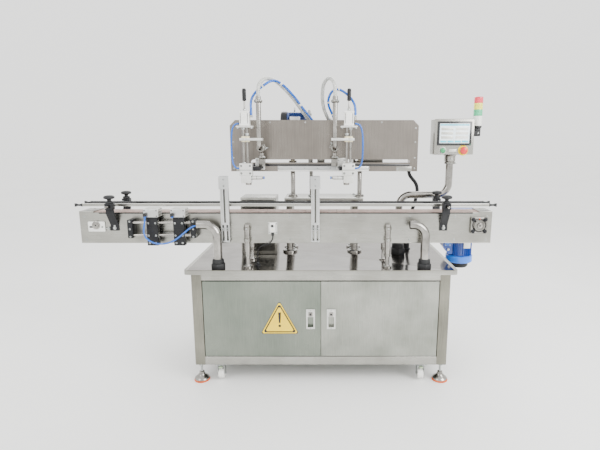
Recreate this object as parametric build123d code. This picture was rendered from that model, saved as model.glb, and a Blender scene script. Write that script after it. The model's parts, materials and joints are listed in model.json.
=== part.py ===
"""Two-head piston liquid filler on a steel cabinet, with its own bottle conveyor.

Millimetres. X runs along the conveyor, Y to the back, Z up. The origin is on the floor, under the middle
of the conveyor's length and of the table's depth.
"""
from build123d import *
import os
from math import radians, tan

os.makedirs("parts", exist_ok=True)

# ---- fits and gaps -------------------------------------------------------------------------------
RUNNING = 0.05            # radial play of a shaft, pin or guide rod in its bore
SLIDING = 0.4             # play at each flat face of a slide
DOOR_GAP = 3.0            # gap round each door
CHAIN_PLAY = 0.5          # radial play between sprocket and chain

# ---- cabinet and table ---------------------------------------------------------------------------
CABINET_LENGTH = 1240.0
CABINET_DEPTH = 670.0
CABINET_X = 170.0         # middle of the cabinet along the conveyor
FRAME_FOOT = 97.0         # underside of the cabinet frame
TUBE = 50.0               # cabinet frame tube
RAIL_HEIGHT = 45.0
SHEET = 2.0
TABLE_OVERHANG = 30.0     # table beyond the cabinet's ends
TABLE_LENGTH = CABINET_LENGTH + 2 * TABLE_OVERHANG
TABLE_DEPTH = 700.0
TABLE_TOP = 578.0         # working surface
TABLE_RIM = 10.0          # raised edge, height and width
TABLE_SHEET = 3.0
TABLE_LIP = 24.0          # height of the folded front edge
DOOR_THICKNESS = 20.0
DOOR_EDGE = 16.0          # folded border behind the door sheet
HINGE_PIN = 6.0
HINGE_INSET = 9.0         # pivot from the door's outer edge
HINGE_PIN_REACH = 12.0
HANDLE_WIDTH = 43.0
HANDLE_HEIGHT = 102.0
HANDLE_Z = 338.0
HANDLE_FROM_SPLIT = 50.0
FOOT_PAD = 78.0
FOOT_INSET = 20.0         # foot axis in from the cabinet's end
FOOT_RUBBER = 8.0
FOOT_SPINDLE = 12.0
CASTER_INSET = 121.0
CASTER_WHEEL = 50.0
CASTER_WIDTH = 28.0
CASTER_AXLE = 8.0
CASTER_LIFT = 12.0        # wheel's clearance over the floor when the feet are down
SUPPORT_Y = 300.0         # feet and casters from the middle

# ---- conveyor ------------------------------------------------------------------------------------
CONVEYOR_LENGTH = 2000.0
CONVEYOR_Y = -190.0
CONVEYOR_WIDTH = 110.0    # over the side plates
PLATE_BOTTOM = 695.0
PLATE_HEIGHT = 150.0
PLATE = 3.0
CHAIN_WIDTH = 82.5
CHAIN_THICKNESS = 4.0
CHAIN_PROUD = 3.0         # chain above the side plates
CHAIN_TOP = PLATE_BOTTOM + PLATE_HEIGHT + CHAIN_PROUD
SPROCKET = 117.0          # diameter over which the chain runs
SHAFT = 25.0
DRIVE_X = 935.0
IDLER_X = -918.0
BEARING_SIDE = 82.0
BEARING_THICKNESS = 14.0
MOTOR_DIAMETER = 138.0
MOTOR_FAN = 98.0
MOTOR_BOTTOM = 530.0
POST = 28.0               # upper tube of a conveyor post
POST_INNER = 20.0
POST_TOP = 791.0
POST_SPLIT = 632.0        # lower end of the upper tube
POST_XS = (-187.0, 495.0)

# ---- guide rails, gates and sensors --------------------------------------------------------------
RAIL_LENGTH = 2040.0
RAIL_Z = 882.0
RAIL_HEIGHT_STRIP = 15.0
RAIL_THICKNESS = 8.0
FRONT_RAIL_Y = -236.0
REAR_RAIL_Y = -144.0
RAIL_ROD = 12.0
RAIL_ROD_LENGTH = 90.0
BRACKET_XS = (-830.0, 765.0)
BRACKET_WIDTH = 38.0
BRACKET_REACH = 40.0      # clamp block from the conveyor plate
CLAMP = 30.0
KNOB = 50.0
KNOB_STEM = 8.0
GATE_ROD = 14.0
GATE_ROD_ZS = (744.0, 804.0)
GATE_Y = -286.0
GATE_END = 24.0           # end block along the rods
GATE_X0 = -750.0
GATE_X1 = -426.0
CARRIAGE_XS = (-631.0, -504.0)
CARRIAGE_WIDTH = 52.0
CARRIAGE_DEPTH = 30.0
CARRIAGE_Z0 = 695.0
CARRIAGE_Z1 = 832.0
GATE_CYLINDER = (70.0, 56.0, 40.0)
GATE_STOP_ROD = 10.0
GATE_STOP_Z = 860.0
PROFILE = 40.0            # T-slot sensor post
PROFILE_DEPTH = 20.0
PROFILE_XS = (-289.0, 144.0)
POST_BOLT = 8.0
POST_BOLT_OFFSET = 10.0
POST_BOLT_Z = 770.0
SLOT_BOTTOM = 712.0
SLOT_TRAVEL = 15.0        # a post's travel either way from the drawn height
PROFILE_Z0 = 705.0
PROFILE_Z1 = 1023.0
CONDUIT = 42.0
CONDUIT_WALL = 1.5
CONDUIT_Y = -290.0
CONDUIT_Z = 794.0
CONDUIT_BEND = 58.0
CONDUITS = ((-326.0, -420.0), (670.0, 594.0))
NUT_ACROSS = 70.0
NUT_HEIGHT = 50.0

# ---- lift ----------------------------------------------------------------------------------------
COLUMN = 38.0
COLUMN_XS = (-2.0, 356.0)
LIFT_Y = 55.0
PLATFORM = (-25.0, 395.0, -15.0, 190.0)
PLATFORM_Z = 872.0
PLATFORM_THICKNESS = 15.0
GUIDE_POST = 25.0
GUIDE_XS = (18.0, 380.0)
GUIDE_TOP = 1150.0
SCREW = 20.0
SCREW_X = 117.0
SCREW_JOURNAL = 12.0
BUSH_WALL = 9.0
CARRIER_Z = 1040.0
CARRIER = 12.0
VALVE_BOX = (-260.0, -72.0, -15.0, 150.0, 890.0)

# ---- front panel and heads -----------------------------------------------------------------------
PANEL_X0 = -296.0
PANEL_X1 = 670.0
PANEL_Z0 = 1031.0
PANEL_Z1 = 1291.0
PANEL_Y = -45.0
PANEL_CORNER = 28.0
PANEL_DEPTH = 255.0
SLOT_X0 = -192.0
SLOT_X1 = 632.0
SLOT_Z0 = 1060.0
SLOT_Z1 = 1092.0
RAIL_BAR_TOP = 1076.0     # black bar in the lower half of the slot
HEAD_XS = (-193.0, 304.0)
HEAD_Y = -190.0
TUBE_OFFSET = 66.0
HEAD_ARM_OFFSETS = (50.0, 30.0)
NOZZLE_Z = 975.0
BLOCK_WIDTH = 60.0
BLOCK_DEPTH = 44.0
BLOCK_TOP = 1080.0
STEM = 12.0
STEM_OFFSET = 9.0
STEM_STROKE = 15.0
BUSH_PLATE_Z = 1188.0
FLANGE_Z = 1249.0
FLANGE = 8.0
CYLINDER_SIDE = 48.0
CYLINDER_TOP = 1327.0
GRIP = 20.0
GRIP_Z0 = 1373.0
GRIP_Z1 = 1430.0
GRIP_ROD = 8.0
ADJUSTER_REACH = 14.0     # thin rod inside the cylinder cap
PRODUCT_TUBE = 24.0
PRODUCT_BORE = 20.0
PRODUCT_TOP = 1395.0
PRODUCT_ELBOW_Z = 1150.0
RISER_Y = -95.0
RISER_Z0 = 1098.0
CLAMP_RING = 40.0
HOSE = 18.0
AIR_HOSE = 8.0
SUPPLY_TUBE = 12.0
SUPPLY_PORT_Z = 1310.0    # top of the fitting on a head's cylinder
SUPPLY_PORT_XS = (148.0, 241.0)
SUPPLY_PORT_Y = 6.0

# ---- pump ----------------------------------------------------------------------------------------
PUMP_Y = 142.0
PUMP_Z = 1285.0
PUMP_MOTOR = 110.0
PUMP_MOTOR_X0 = -49.0
PUMP_FLANGE_X = 101.0
PUMP_FLANGE = 128.0
BALL_SCREW = 20.0
PUMP_END_X = 345.0
PISTON = 56.0
PISTON_ROD = 12.0
PUMP_CYLINDER = 70.0
PUMP_CYLINDER_LENGTH = 190.0
PUMP_CYLINDER_YS = (108.0, 184.0)
PUMP_CYLINDER_Z = 1165.0
CROSSHEAD = 20.0
CROSSHEAD_X = 205.0
VALVE_BLOCK_X = 120.0
VALVE_BLOCK_TOP = 1240.0

# ---- control box ---------------------------------------------------------------------------------
POLE = 38.0
POLE_X = 850.0
POLE_Y = 5.0
ARM_X = 590.0
ARM_Z = 903.0
ARM_BEND = 60.0
BOX_X0 = 752.0
BOX_X1 = 955.0
BOX_Z0 = 1116.0
BOX_Z1 = 1297.0
BOX_Y = -45.0
BOX_DEPTH = 90.0
SOCKET_Z = 1080.0
BUTTON_Z = 1138.0
START_X = 797.0
STOP_X = 902.0
BUTTON_STEM = 22.0
LIGHT = 46.0
LIGHT_X = 982.0
LIGHT_PIVOT_Z = 1225.0
LIGHT_FOOT_TOP = 1263.0
LIGHT_TOP = 1409.0
LIGHT_PIN = 8.0

PLATE_FRONT = CONVEYOR_Y - CONVEYOR_WIDTH / 2
PLATE_BACK = CONVEYOR_Y + CONVEYOR_WIDTH / 2
PLATE_TOP = PLATE_BOTTOM + PLATE_HEIGHT
SHAFT_Z = CHAIN_TOP - CHAIN_THICKNESS - SPROCKET / 2 - CHAIN_PLAY
DOOR_FRONT = -CABINET_DEPTH / 2
HINGE_Y = DOOR_FRONT + 6.0
CASTER_AXLE_Z = CASTER_LIFT + CASTER_WHEEL / 2
GEARBOX_Y = (PLATE_BACK + 30.0, PLATE_BACK + 110.0)
MOTOR_X = DRIVE_X - 30.0
PROFILE_Y = (PLATE_FRONT - 8.0 - PROFILE_DEPTH, PLATE_FRONT - 8.0)
RAIL_BAR_Y = (PANEL_Y + PLATE, PANEL_Y + PLATE + 22.0)
CABINET_X0 = CABINET_X - CABINET_LENGTH / 2
CABINET_X1 = CABINET_X + CABINET_LENGTH / 2
TABLE_UNDER = TABLE_TOP - TABLE_SHEET


# ---- shape helpers -------------------------------------------------------------------------------
def block(x, y, z):
    """A box between two values on each axis."""
    centre = ((x[0] + x[1]) / 2, (y[0] + y[1]) / 2, (z[0] + z[1]) / 2)
    return Pos(*centre) * Box(x[1] - x[0], y[1] - y[0], z[1] - z[0])


def rod_x(diameter, x0, x1, y, z):
    return Pos((x0 + x1) / 2, y, z) * Rot(0, 90, 0) * Cylinder(diameter / 2, x1 - x0)


def rod_y(diameter, x, y0, y1, z):
    return Pos(x, (y0 + y1) / 2, z) * Rot(90, 0, 0) * Cylinder(diameter / 2, y1 - y0)


def rod_z(diameter, x, y, z0, z1):
    return Pos(x, y, (z0 + z1) / 2) * Cylinder(diameter / 2, z1 - z0)


def cone_z(d0, d1, x, y, z0, z1):
    return Pos(x, y, (z0 + z1) / 2) * Cone(d0 / 2, d1 / 2, z1 - z0)


def hex_z(across, x, y, z0, z1):
    """A hexagonal prism across its corners."""
    return Pos(x, y, z0) * extrude(RegularPolygon(across / 2, 6), z1 - z0)


def join(shapes):
    return Part() + list(shapes)


def tube_path(points, radii):
    return FilletPolyline(*points, radius=radii) if len(points) > 2 else Line(*points)


def pipe(points, diameter, radii, bore=0.0):
    """A round pipe along straight runs joined by arcs."""
    path = tube_path(points, radii)
    section = Plane(origin=path @ 0, z_dir=path % 0)
    solid = sweep(section * Circle(diameter / 2), path=path)
    return solid - sweep(section * Circle(bore / 2), path=path) if bore else solid


def cord(name, points, diameter):
    """A free cord: each arc is as large as its two runs allow. Prints the smallest radius."""
    runs = [Vector(*b) - Vector(*a) for a, b in zip(points, points[1:])]
    radii = []
    for before, after in zip(runs, runs[1:]):
        turn = radians(before.get_angle(after))
        radii.append(0.45 * min(before.length, after.length) / tan(turn / 2))
    solid = pipe(points, diameter, radii)
    length = tube_path(points, radii).length
    ratio = solid.volume / (length * 3.14159265 * diameter ** 2 / 4)
    print(f"{name}: length {length:.0f}, volume ratio {ratio:.4f}, radii {[round(r) for r in radii]},"
          f" smallest {min(radii) / diameter:.1f} diameters, runs {[round(r.length) for r in runs]}")
    return solid


def save(name, shape):
    export_step(shape, f"parts/{name}.step")


# ---- cabinet -------------------------------------------------------------------------------------
def door_span(side):
    """X range of the left (-1) or right (+1) door."""
    if side < 0:
        return CABINET_X0 + TUBE + DOOR_GAP, CABINET_X - DOOR_GAP / 2
    return CABINET_X + DOOR_GAP / 2, CABINET_X1 - TUBE - DOOR_GAP


DOOR_Z0 = FRAME_FOOT + RAIL_HEIGHT + DOOR_GAP
DOOR_Z1 = TABLE_UNDER - RAIL_HEIGHT - DOOR_GAP


def hinge_x(side):
    span = door_span(side)
    return span[0] + HINGE_INSET if side < 0 else span[1] - HINGE_INSET


def base_frame():
    """Welded square tube frame with the doors' pivot pins."""
    half = CABINET_DEPTH / 2
    z0, z1 = FRAME_FOOT, TABLE_UNDER
    solids = []
    for x in ((CABINET_X0, CABINET_X0 + TUBE), (CABINET_X1 - TUBE, CABINET_X1)):
        for y in ((-half, -half + TUBE), (half - TUBE, half)):
            solids.append(block(x, y, (z0, z1)))
    for z in ((z0, z0 + RAIL_HEIGHT), (z1 - RAIL_HEIGHT, z1)):
        for y in ((-half, -half + TUBE), (half - TUBE, half)):
            solids.append(block((CABINET_X0, CABINET_X1), y, z))
        for x in ((CABINET_X0, CABINET_X0 + TUBE), (CABINET_X1 - TUBE, CABINET_X1)):
            solids.append(block(x, (-half, half), z))
    mullion_y = (DOOR_FRONT + DOOR_THICKNESS + DOOR_GAP, -half + TUBE)
    solids.append(block((CABINET_X - TUBE / 2, CABINET_X + TUBE / 2), mullion_y, (z0, z1)))
    solids.append(block((CABINET_X - TUBE / 2, CABINET_X + TUBE / 2), (-half, half), (z0, z0 + RAIL_HEIGHT)))
    for side in (-1, 1):
        reach = DOOR_GAP + HINGE_PIN_REACH
        x = hinge_x(side)
        solids.append(rod_z(HINGE_PIN, x, HINGE_Y, z0 + RAIL_HEIGHT - 5, z0 + RAIL_HEIGHT + reach))
        solids.append(rod_z(HINGE_PIN, x, HINGE_Y, z1 - RAIL_HEIGHT - reach, z1 - RAIL_HEIGHT + 5))
    return join(solids)


def cabinet_panels():
    """End, back and floor sheets between the frame tubes."""
    half = CABINET_DEPTH / 2
    z = (FRAME_FOOT + RAIL_HEIGHT, TABLE_UNDER - RAIL_HEIGHT)
    inset = 5.0
    y = (-half + TUBE, half - TUBE)
    x = (CABINET_X0 + TUBE, CABINET_X1 - TUBE)
    floor = block((CABINET_X0 + inset, CABINET_X1 - inset),
                  (DOOR_FRONT + DOOR_THICKNESS + DOOR_GAP, half - inset), (z[0], z[0] + SHEET))
    posts = [block(px, py, z) for px in ((CABINET_X0, x[0]), (x[1], CABINET_X1))
             for py in ((-half, y[0]), (y[1], half))]
    posts.append(block((CABINET_X - TUBE / 2, CABINET_X + TUBE / 2), (-half, y[0]), z))
    for post in posts:
        floor = floor - post
    return join([
        floor,
        block((CABINET_X0 + inset, CABINET_X0 + inset + SHEET), y, z),
        block((CABINET_X1 - inset - SHEET, CABINET_X1 - inset), y, z),
        block(x, (half - inset - SHEET, half - inset), z),
    ])


def table_top():
    """Folded sheet top with a raised rim and a lip that hangs over the frame."""
    x0, x1 = CABINET_X - TABLE_LENGTH / 2, CABINET_X + TABLE_LENGTH / 2
    half = TABLE_DEPTH / 2
    top = TABLE_TOP + TABLE_RIM
    rim = TABLE_RIM
    body = block((x0, x1), (-half, half), (top - TABLE_LIP, top))
    basin = block((x0 + rim, x1 - rim), (-half + rim, half - rim), (TABLE_TOP, top))
    under = block((x0 + TABLE_SHEET, x1 - TABLE_SHEET), (-half + TABLE_SHEET, half - TABLE_SHEET),
                  (top - TABLE_LIP, TABLE_UNDER))
    return body - basin - under


def door(side):
    """Folded sheet door with a recessed pull and bores for its two pivot pins."""
    x = door_span(side)
    y = (DOOR_FRONT, DOOR_FRONT + DOOR_THICKNESS)
    z = (DOOR_Z0, DOOR_Z1)
    shell = block(x, y, z)
    shell -= block((x[0] + DOOR_EDGE, x[1] - DOOR_EDGE), (y[0] + SHEET, y[1]),
                   (z[0] + DOOR_EDGE, z[1] - DOOR_EDGE))
    pull_x = CABINET_X + side * HANDLE_FROM_SPLIT
    wide, high = HANDLE_WIDTH / 2, HANDLE_HEIGHT / 2
    cup = block((pull_x - wide, pull_x + wide), (y[0] - 4, y[0]), (HANDLE_Z - high, HANDLE_Z + high))
    cup += block((pull_x - wide + 5, pull_x + wide - 5), (y[0], y[1] - 2),
                 (HANDLE_Z - high + 5, HANDLE_Z + high - 5))
    shell += cup
    shell -= block((pull_x - wide + 8, pull_x + wide - 8), (y[0] - 4, y[1] - 4),
                   (HANDLE_Z - high + 10, HANDLE_Z + high - 40))
    bore = HINGE_PIN + 2 * RUNNING
    for z0, z1 in ((z[0], z[0] + HINGE_PIN_REACH + 2), (z[1] - HINGE_PIN_REACH - 2, z[1])):
        shell -= rod_z(bore, hinge_x(side), HINGE_Y, z0, z1)
    return shell


def support_xs(inset):
    return CABINET_X0 + inset, CABINET_X1 - inset


def levelling_feet():
    """Screwed feet: rubber disc, bell, spindle and lock nut."""
    solids = []
    for x in support_xs(FOOT_INSET):
        for y in (-SUPPORT_Y, SUPPORT_Y):
            solids += [
                rod_z(FOOT_PAD, x, y, 0, FOOT_RUBBER),
                cone_z(FOOT_PAD - 8, 22, x, y, FOOT_RUBBER, 45),
                rod_z(FOOT_SPINDLE, x, y, 40, FRAME_FOOT),
                hex_z(24, x, y, 80, 91),
            ]
    return join(solids)


def caster_forks():
    """Top plates, swivel heads, forks and axles of the four braked casters."""
    solids = []
    cheek = CASTER_WIDTH / 2 + 1.5
    for x in support_xs(CASTER_INSET):
        for y in (-SUPPORT_Y, SUPPORT_Y):
            solids += [
                block((x - 32, x + 32), (y - 27, y + 27), (FRAME_FOOT - 4, FRAME_FOOT)),
                rod_z(40, x, y, 84, FRAME_FOOT - 4),
                block((x - cheek - 3, x + cheek + 3), (y - 16, y + 16), (80, 84)),
                rod_x(CASTER_AXLE, x - cheek - 5, x + cheek + 5, y, CASTER_AXLE_Z),
                block((x - 9, x + 9), (y - 34, y - 16), (76, 82)),
                block((x - 9, x + 9), (y - 17, y + 16), (78, 84)),
            ]
            for s in (-1, 1):
                a, b = sorted((x + s * cheek, x + s * (cheek + 3)))
                solids.append(block((a, b), (y - 14, y + 14), (CASTER_AXLE_Z - 8, 84)))
    return join(solids)


def caster_wheels(y):
    """The two wheels on one axle line."""
    wheels = []
    for x in support_xs(CASTER_INSET):
        half = CASTER_WIDTH / 2
        wheel = rod_x(CASTER_WHEEL, x - half, x + half, y, CASTER_AXLE_Z)
        wheels.append(wheel - rod_x(CASTER_AXLE + 2 * RUNNING, x - half, x + half, y, CASTER_AXLE_Z))
    return Compound(children=[w.solid() for w in wheels])


# ---- conveyor ------------------------------------------------------------------------------------
def conveyor_frame():
    """Two side plates on spacers, wear strips and end covers."""
    half = CONVEYOR_LENGTH / 2
    z = (PLATE_BOTTOM, PLATE_TOP)
    front = block((-half, half), (PLATE_FRONT, PLATE_FRONT + PLATE), z)
    back = block((-half, half), (PLATE_BACK - PLATE, PLATE_BACK), z)
    solids = []
    for plate in (front, back):
        for x in (DRIVE_X, IDLER_X):
            plate -= rod_y(SHAFT + 8, x, PLATE_FRONT - 1, PLATE_BACK + 1, SHAFT_Z)
        solids.append(plate)
    inner = (PLATE_FRONT + PLATE, PLATE_BACK - PLATE)
    run_under = CHAIN_TOP - CHAIN_THICKNESS
    for x in (-750.0, -450.0, -150.0, 150.0, 450.0, 750.0):
        solids.append(rod_y(14, x, inner[0], inner[1], PLATE_BOTTOM + 12))
        solids.append(block((x - 12, x + 12), inner, (run_under - 36, run_under - 8)))
    for y in (CONVEYOR_Y - 30, CONVEYOR_Y + 30):
        solids.append(block((IDLER_X + 80, DRIVE_X - 80), (y - 8, y + 8), (run_under - 8, run_under)))
    for x0, x1 in ((-half, -half + 69), (half - 63, half)):
        solids.append(block((x0, x1), (PLATE_FRONT, PLATE_BACK), (CHAIN_TOP + 1, CHAIN_TOP + 4)))
        for y in (PLATE_FRONT, PLATE_BACK - PLATE):
            solids.append(block((x0, x1), (y, y + PLATE), (PLATE_TOP - 1, CHAIN_TOP + 1)))
    return join(solids)


def conveyor_belt():
    """The flat-top chain as one closed band round both sprockets."""
    inner = SPROCKET / 2 + CHAIN_PLAY
    length = DRIVE_X - IDLER_X
    middle = (DRIVE_X + IDLER_X) / 2
    band = SlotOverall(length + 2 * inner + 2 * CHAIN_THICKNESS, 2 * inner + 2 * CHAIN_THICKNESS)
    band -= SlotOverall(length + 2 * inner, 2 * inner)
    place = Plane(origin=(middle, CONVEYOR_Y + CHAIN_WIDTH / 2, SHAFT_Z), x_dir=(1, 0, 0), z_dir=(0, -1, 0))
    return extrude(place * band, CHAIN_WIDTH)


def shaft_bearings():
    """Flange bearings of the drive shaft and take-up plates of the idler shaft."""
    bore = SHAFT + 2 * RUNNING
    side = BEARING_SIDE / 2
    solids = []
    for face, s in ((PLATE_FRONT, -1), (PLATE_BACK, 1)):
        y = sorted((face, face + s * BEARING_THICKNESS))
        boss = sorted((face, face + s * (BEARING_THICKNESS + 8)))
        flange = block((DRIVE_X - side, DRIVE_X + side), y, (SHAFT_Z - side, SHAFT_Z + side))
        flange += rod_y(52, DRIVE_X, boss[0], boss[1], SHAFT_Z)
        solids.append(flange - rod_y(bore, DRIVE_X, boss[0], boss[1], SHAFT_Z))
        plate = block((IDLER_X - side, IDLER_X + side), sorted((face, face + s * 10)),
                      (SHAFT_Z - 32, SHAFT_Z + 18))
        solids.append(plate - rod_y(bore, IDLER_X, face - 12, face + 12, SHAFT_Z))
    return Compound(children=[s.solid() for s in solids])


def sprocket_shaft(x, y0, y1):
    """A shaft with two sprockets inside the chain."""
    solids = [rod_y(SHAFT, x, y0, y1, SHAFT_Z)]
    for y in (CONVEYOR_Y - 24, CONVEYOR_Y + 24):
        solids.append(rod_y(SPROCKET, x, y - 8, y + 8, SHAFT_Z))
        solids.append(rod_y(60, x, y - 14, y + 14, SHAFT_Z))
    return join(solids)


def conveyor_gearmotor():
    """Worm gearbox on the drive shaft, with its motor and terminal box hanging down."""
    middle = sum(GEARBOX_Y) / 2
    box = block((MOTOR_X - 50, DRIVE_X + 45), GEARBOX_Y, (SHAFT_Z - 55, SHAFT_Z + 55))
    box -= rod_y(SHAFT + 2 * RUNNING, DRIVE_X, GEARBOX_Y[0], GEARBOX_Y[1], SHAFT_Z)
    spigot = rod_y(62, DRIVE_X, PLATE_BACK + BEARING_THICKNESS + 8, GEARBOX_Y[0], SHAFT_Z)
    spigot -= rod_y(SHAFT + 2 * RUNNING, DRIVE_X, PLATE_BACK, GEARBOX_Y[0], SHAFT_Z)
    return join([
        box,
        spigot,
        rod_z(110, MOTOR_X, middle, SHAFT_Z - 75, SHAFT_Z - 55),
        rod_z(MOTOR_DIAMETER - 10, MOTOR_X, middle, MOTOR_BOTTOM + 65, SHAFT_Z - 75),
        rod_z(MOTOR_DIAMETER, MOTOR_X, middle, MOTOR_BOTTOM + 28, MOTOR_BOTTOM + 65),
        rod_z(MOTOR_FAN, MOTOR_X, middle, MOTOR_BOTTOM, MOTOR_BOTTOM + 28),
        block((MOTOR_X - 95, MOTOR_X - 50), (middle - 40, middle + 40), (TABLE_TOP + 27, PLATE_BOTTOM - 3)),
    ])


def conveyor_posts():
    """Four telescopic posts with base flanges and clamp blocks on the side plates."""
    solids = []
    for x in POST_XS:
        for face, s in ((PLATE_FRONT, -1), (PLATE_BACK, 1)):
            y = face + s * (POST / 2 + 0.5)
            solids += [
                rod_z(44, x, y, TABLE_TOP, TABLE_TOP + 6),
                rod_z(POST_INNER, x, y, TABLE_TOP + 6, POST_SPLIT),
                rod_z(POST, x, y, POST_SPLIT, POST_TOP),
            ]
            for z in (PLATE_BOTTOM + 20, POST_TOP - 20):
                solids.append(block((x - 8, x + 8), sorted((face, y)), (z - 8, z + 8)))
    return join(solids)


def rail_rod_span(side):
    """Y range of a guide rail's cross rods: side -1 is the front rail."""
    if side < 0:
        start = FRONT_RAIL_Y - RAIL_THICKNESS / 2
        return start - RAIL_ROD_LENGTH, start
    start = REAR_RAIL_Y + RAIL_THICKNESS / 2
    return start, start + RAIL_ROD_LENGTH


def clamp_y(side):
    return PLATE_FRONT - BRACKET_REACH if side < 0 else PLATE_BACK + BRACKET_REACH


def rail_brackets():
    """Bent brackets on the side plates, each with a clamp block for a cross rod."""
    solids = []
    for side, face in ((-1, PLATE_FRONT), (1, PLATE_BACK)):
        middle = clamp_y(side)
        for x in BRACKET_XS:
            wide = BRACKET_WIDTH / 2
            near, far = middle - side * 3, middle + side * 3
            foot, knee = PLATE_TOP - 87, PLATE_TOP - 53
            outline = [(face, foot), (face, knee), (near, PLATE_TOP + 3), (near, RAIL_Z), (far, RAIL_Z),
                       (far, PLATE_TOP + 1), (face + side * 6, knee - 4), (face + side * 6, foot)]
            profile = make_face(Polyline(*outline, close=True))
            edge = Plane(origin=(x - wide, 0, 0), x_dir=(0, 1, 0), z_dir=(1, 0, 0))
            strip = extrude(edge * profile, 2 * wide)
            head = block((x - wide, x + wide), (middle - CLAMP / 2, middle + CLAMP / 2),
                         (RAIL_Z - CLAMP / 2, RAIL_Z + CLAMP / 2))
            bracket = join([strip, head])
            bracket -= rod_y(RAIL_ROD + 2 * RUNNING, x, middle - 40, middle + 40, RAIL_Z)
            bracket -= rod_z(KNOB_STEM + 2 * RUNNING, x, middle, RAIL_Z, RAIL_Z + CLAMP)
            solids.append(bracket)
    return Compound(children=[s.solid() for s in solids])


def rail_knob(x, side):
    """Clamping knob whose stem turns in the clamp block."""
    y = clamp_y(side)
    z = RAIL_Z + CLAMP / 2
    return join([
        rod_z(KNOB_STEM, x, y, RAIL_Z + RAIL_ROD / 2 + 1, z + 16),
        rod_z(24, x, y, z + 1, z + 16),
        rod_z(KNOB, x, y, z + 16, z + 38),
    ])


def guide_rail(side):
    """A rail strip on two cross rods."""
    y = FRONT_RAIL_Y if side < 0 else REAR_RAIL_Y
    half, thick, high = RAIL_LENGTH / 2, RAIL_THICKNESS / 2, RAIL_HEIGHT_STRIP / 2
    solids = [block((-half, half), (y - thick, y + thick), (RAIL_Z - high, RAIL_Z + high))]
    span = rail_rod_span(side)
    for x in BRACKET_XS:
        solids.append(rod_y(RAIL_ROD, x, span[0], span[1], RAIL_Z))
    return join(solids)


def gate_rods():
    """Two cross-mounted guide rods in end blocks bolted to the front plate."""
    solids = [rod_x(GATE_ROD, GATE_X0, GATE_X1, GATE_Y, z) for z in GATE_ROD_ZS]
    for x in ((GATE_X0, GATE_X0 + GATE_END), (GATE_X1 - GATE_END, GATE_X1)):
        solids.append(block(x, (GATE_Y - 10, PLATE_FRONT), (GATE_ROD_ZS[0] - 14, GATE_ROD_ZS[1] + 14)))
    return join(solids)


def gate_cylinder_y():
    return GATE_Y - CARRIAGE_DEPTH / 2, GATE_Y - CARRIAGE_DEPTH / 2 + GATE_CYLINDER[1]


def gate_carriage(x):
    """Block that slides on both rods, with a compact air cylinder on top."""
    half = CARRIAGE_WIDTH / 2
    y = (GATE_Y - CARRIAGE_DEPTH / 2, GATE_Y + CARRIAGE_DEPTH / 2)
    body = block((x - half, x + half), y, (CARRIAGE_Z0, CARRIAGE_Z1))
    wide = GATE_CYLINDER[0] / 2
    cylinder_y = gate_cylinder_y()
    body += block((x - wide, x + wide), (cylinder_y[0] - 8, cylinder_y[1]),
                  (CARRIAGE_Z1, CARRIAGE_Z1 + GATE_CYLINDER[2]))
    body += block((x - wide + 5, x - wide + 17), (cylinder_y[0] - 24, cylinder_y[0] - 8),
                  (CARRIAGE_Z1 + 6, CARRIAGE_Z1 + 22))
    for z in GATE_ROD_ZS:
        body -= rod_x(GATE_ROD + 2 * RUNNING, x - half, x + half, GATE_Y, z)
    stop_y = gate_cylinder_y()
    return body - rod_y(GATE_STOP_ROD + 2 * RUNNING, x, stop_y[0], stop_y[1], GATE_STOP_Z)


def gate_stop(x):
    """Piston rod that reaches over the chain, under the guide rail."""
    y = gate_cylinder_y()
    tip = PLATE_FRONT + 8
    return join([
        rod_y(GATE_STOP_ROD, x, y[0] + 1, tip, GATE_STOP_Z),
        rod_y(GATE_STOP_ROD + 6, x, tip, tip + 8, GATE_STOP_Z),
    ])


def sensor_post(x):
    """Grooved upright with a cap plate, slotted at its foot so that it slides on two bolts."""
    half = PROFILE / 2
    y0, y1 = PROFILE_Y
    slot_top = POST_BOLT_Z + SLOT_TRAVEL + POST_BOLT / 2 + SLIDING
    body = block((x - half, x + half), (y0, y1), (PROFILE_Z0, PROFILE_Z1))
    body -= block((x - 4, x + 4), (y0, y0 + 6), (slot_top + 12, PROFILE_Z1))
    body += block((x - half - 4, x + half + 4), (y0 - 4, y0), (PROFILE_Z1 - 60, PROFILE_Z1))
    slot = SlotOverall(slot_top - SLOT_BOTTOM, POST_BOLT + 2 * SLIDING, rotation=90)
    for offset in (-POST_BOLT_OFFSET, POST_BOLT_OFFSET):
        centre = (x + offset, y0 - 1, (SLOT_BOTTOM + slot_top) / 2)
        place = Plane(origin=centre, x_dir=(1, 0, 0), z_dir=(0, -1, 0))
        body -= extrude(place * slot, -PROFILE_DEPTH - 2)
    return body


def post_bolts():
    """Bolts with spacers in the front plate that carry the two sensor posts."""
    solids = []
    for x in PROFILE_XS:
        for bolt_x in (x - POST_BOLT_OFFSET, x + POST_BOLT_OFFSET):
            solids.append(join([
                rod_y(16, bolt_x, PROFILE_Y[1] + SLIDING, PLATE_FRONT, POST_BOLT_Z),
                rod_y(POST_BOLT, bolt_x, PROFILE_Y[0] - 6, PROFILE_Y[1] + SLIDING, POST_BOLT_Z),
                rod_y(14, bolt_x, PROFILE_Y[0] - 6, PROFILE_Y[0] - SLIDING, POST_BOLT_Z),
            ]))
    return solids


def bottle_sensor():
    """Sensor on a small angle bracket, with the posts' bolts."""
    x = -64.0
    return Compound(children=[s.solid() for s in (
        join([
            block((x - 22, x + 22), (PLATE_FRONT - 4, PLATE_FRONT), (740, 800)),
            block((x - 14, x + 14), (PLATE_FRONT - 24, PLATE_FRONT - 4), (752, 800)),
            rod_z(12, x, PLATE_FRONT - 14, 734, 752),
        ]),
        *post_bolts(),
    )])


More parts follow.
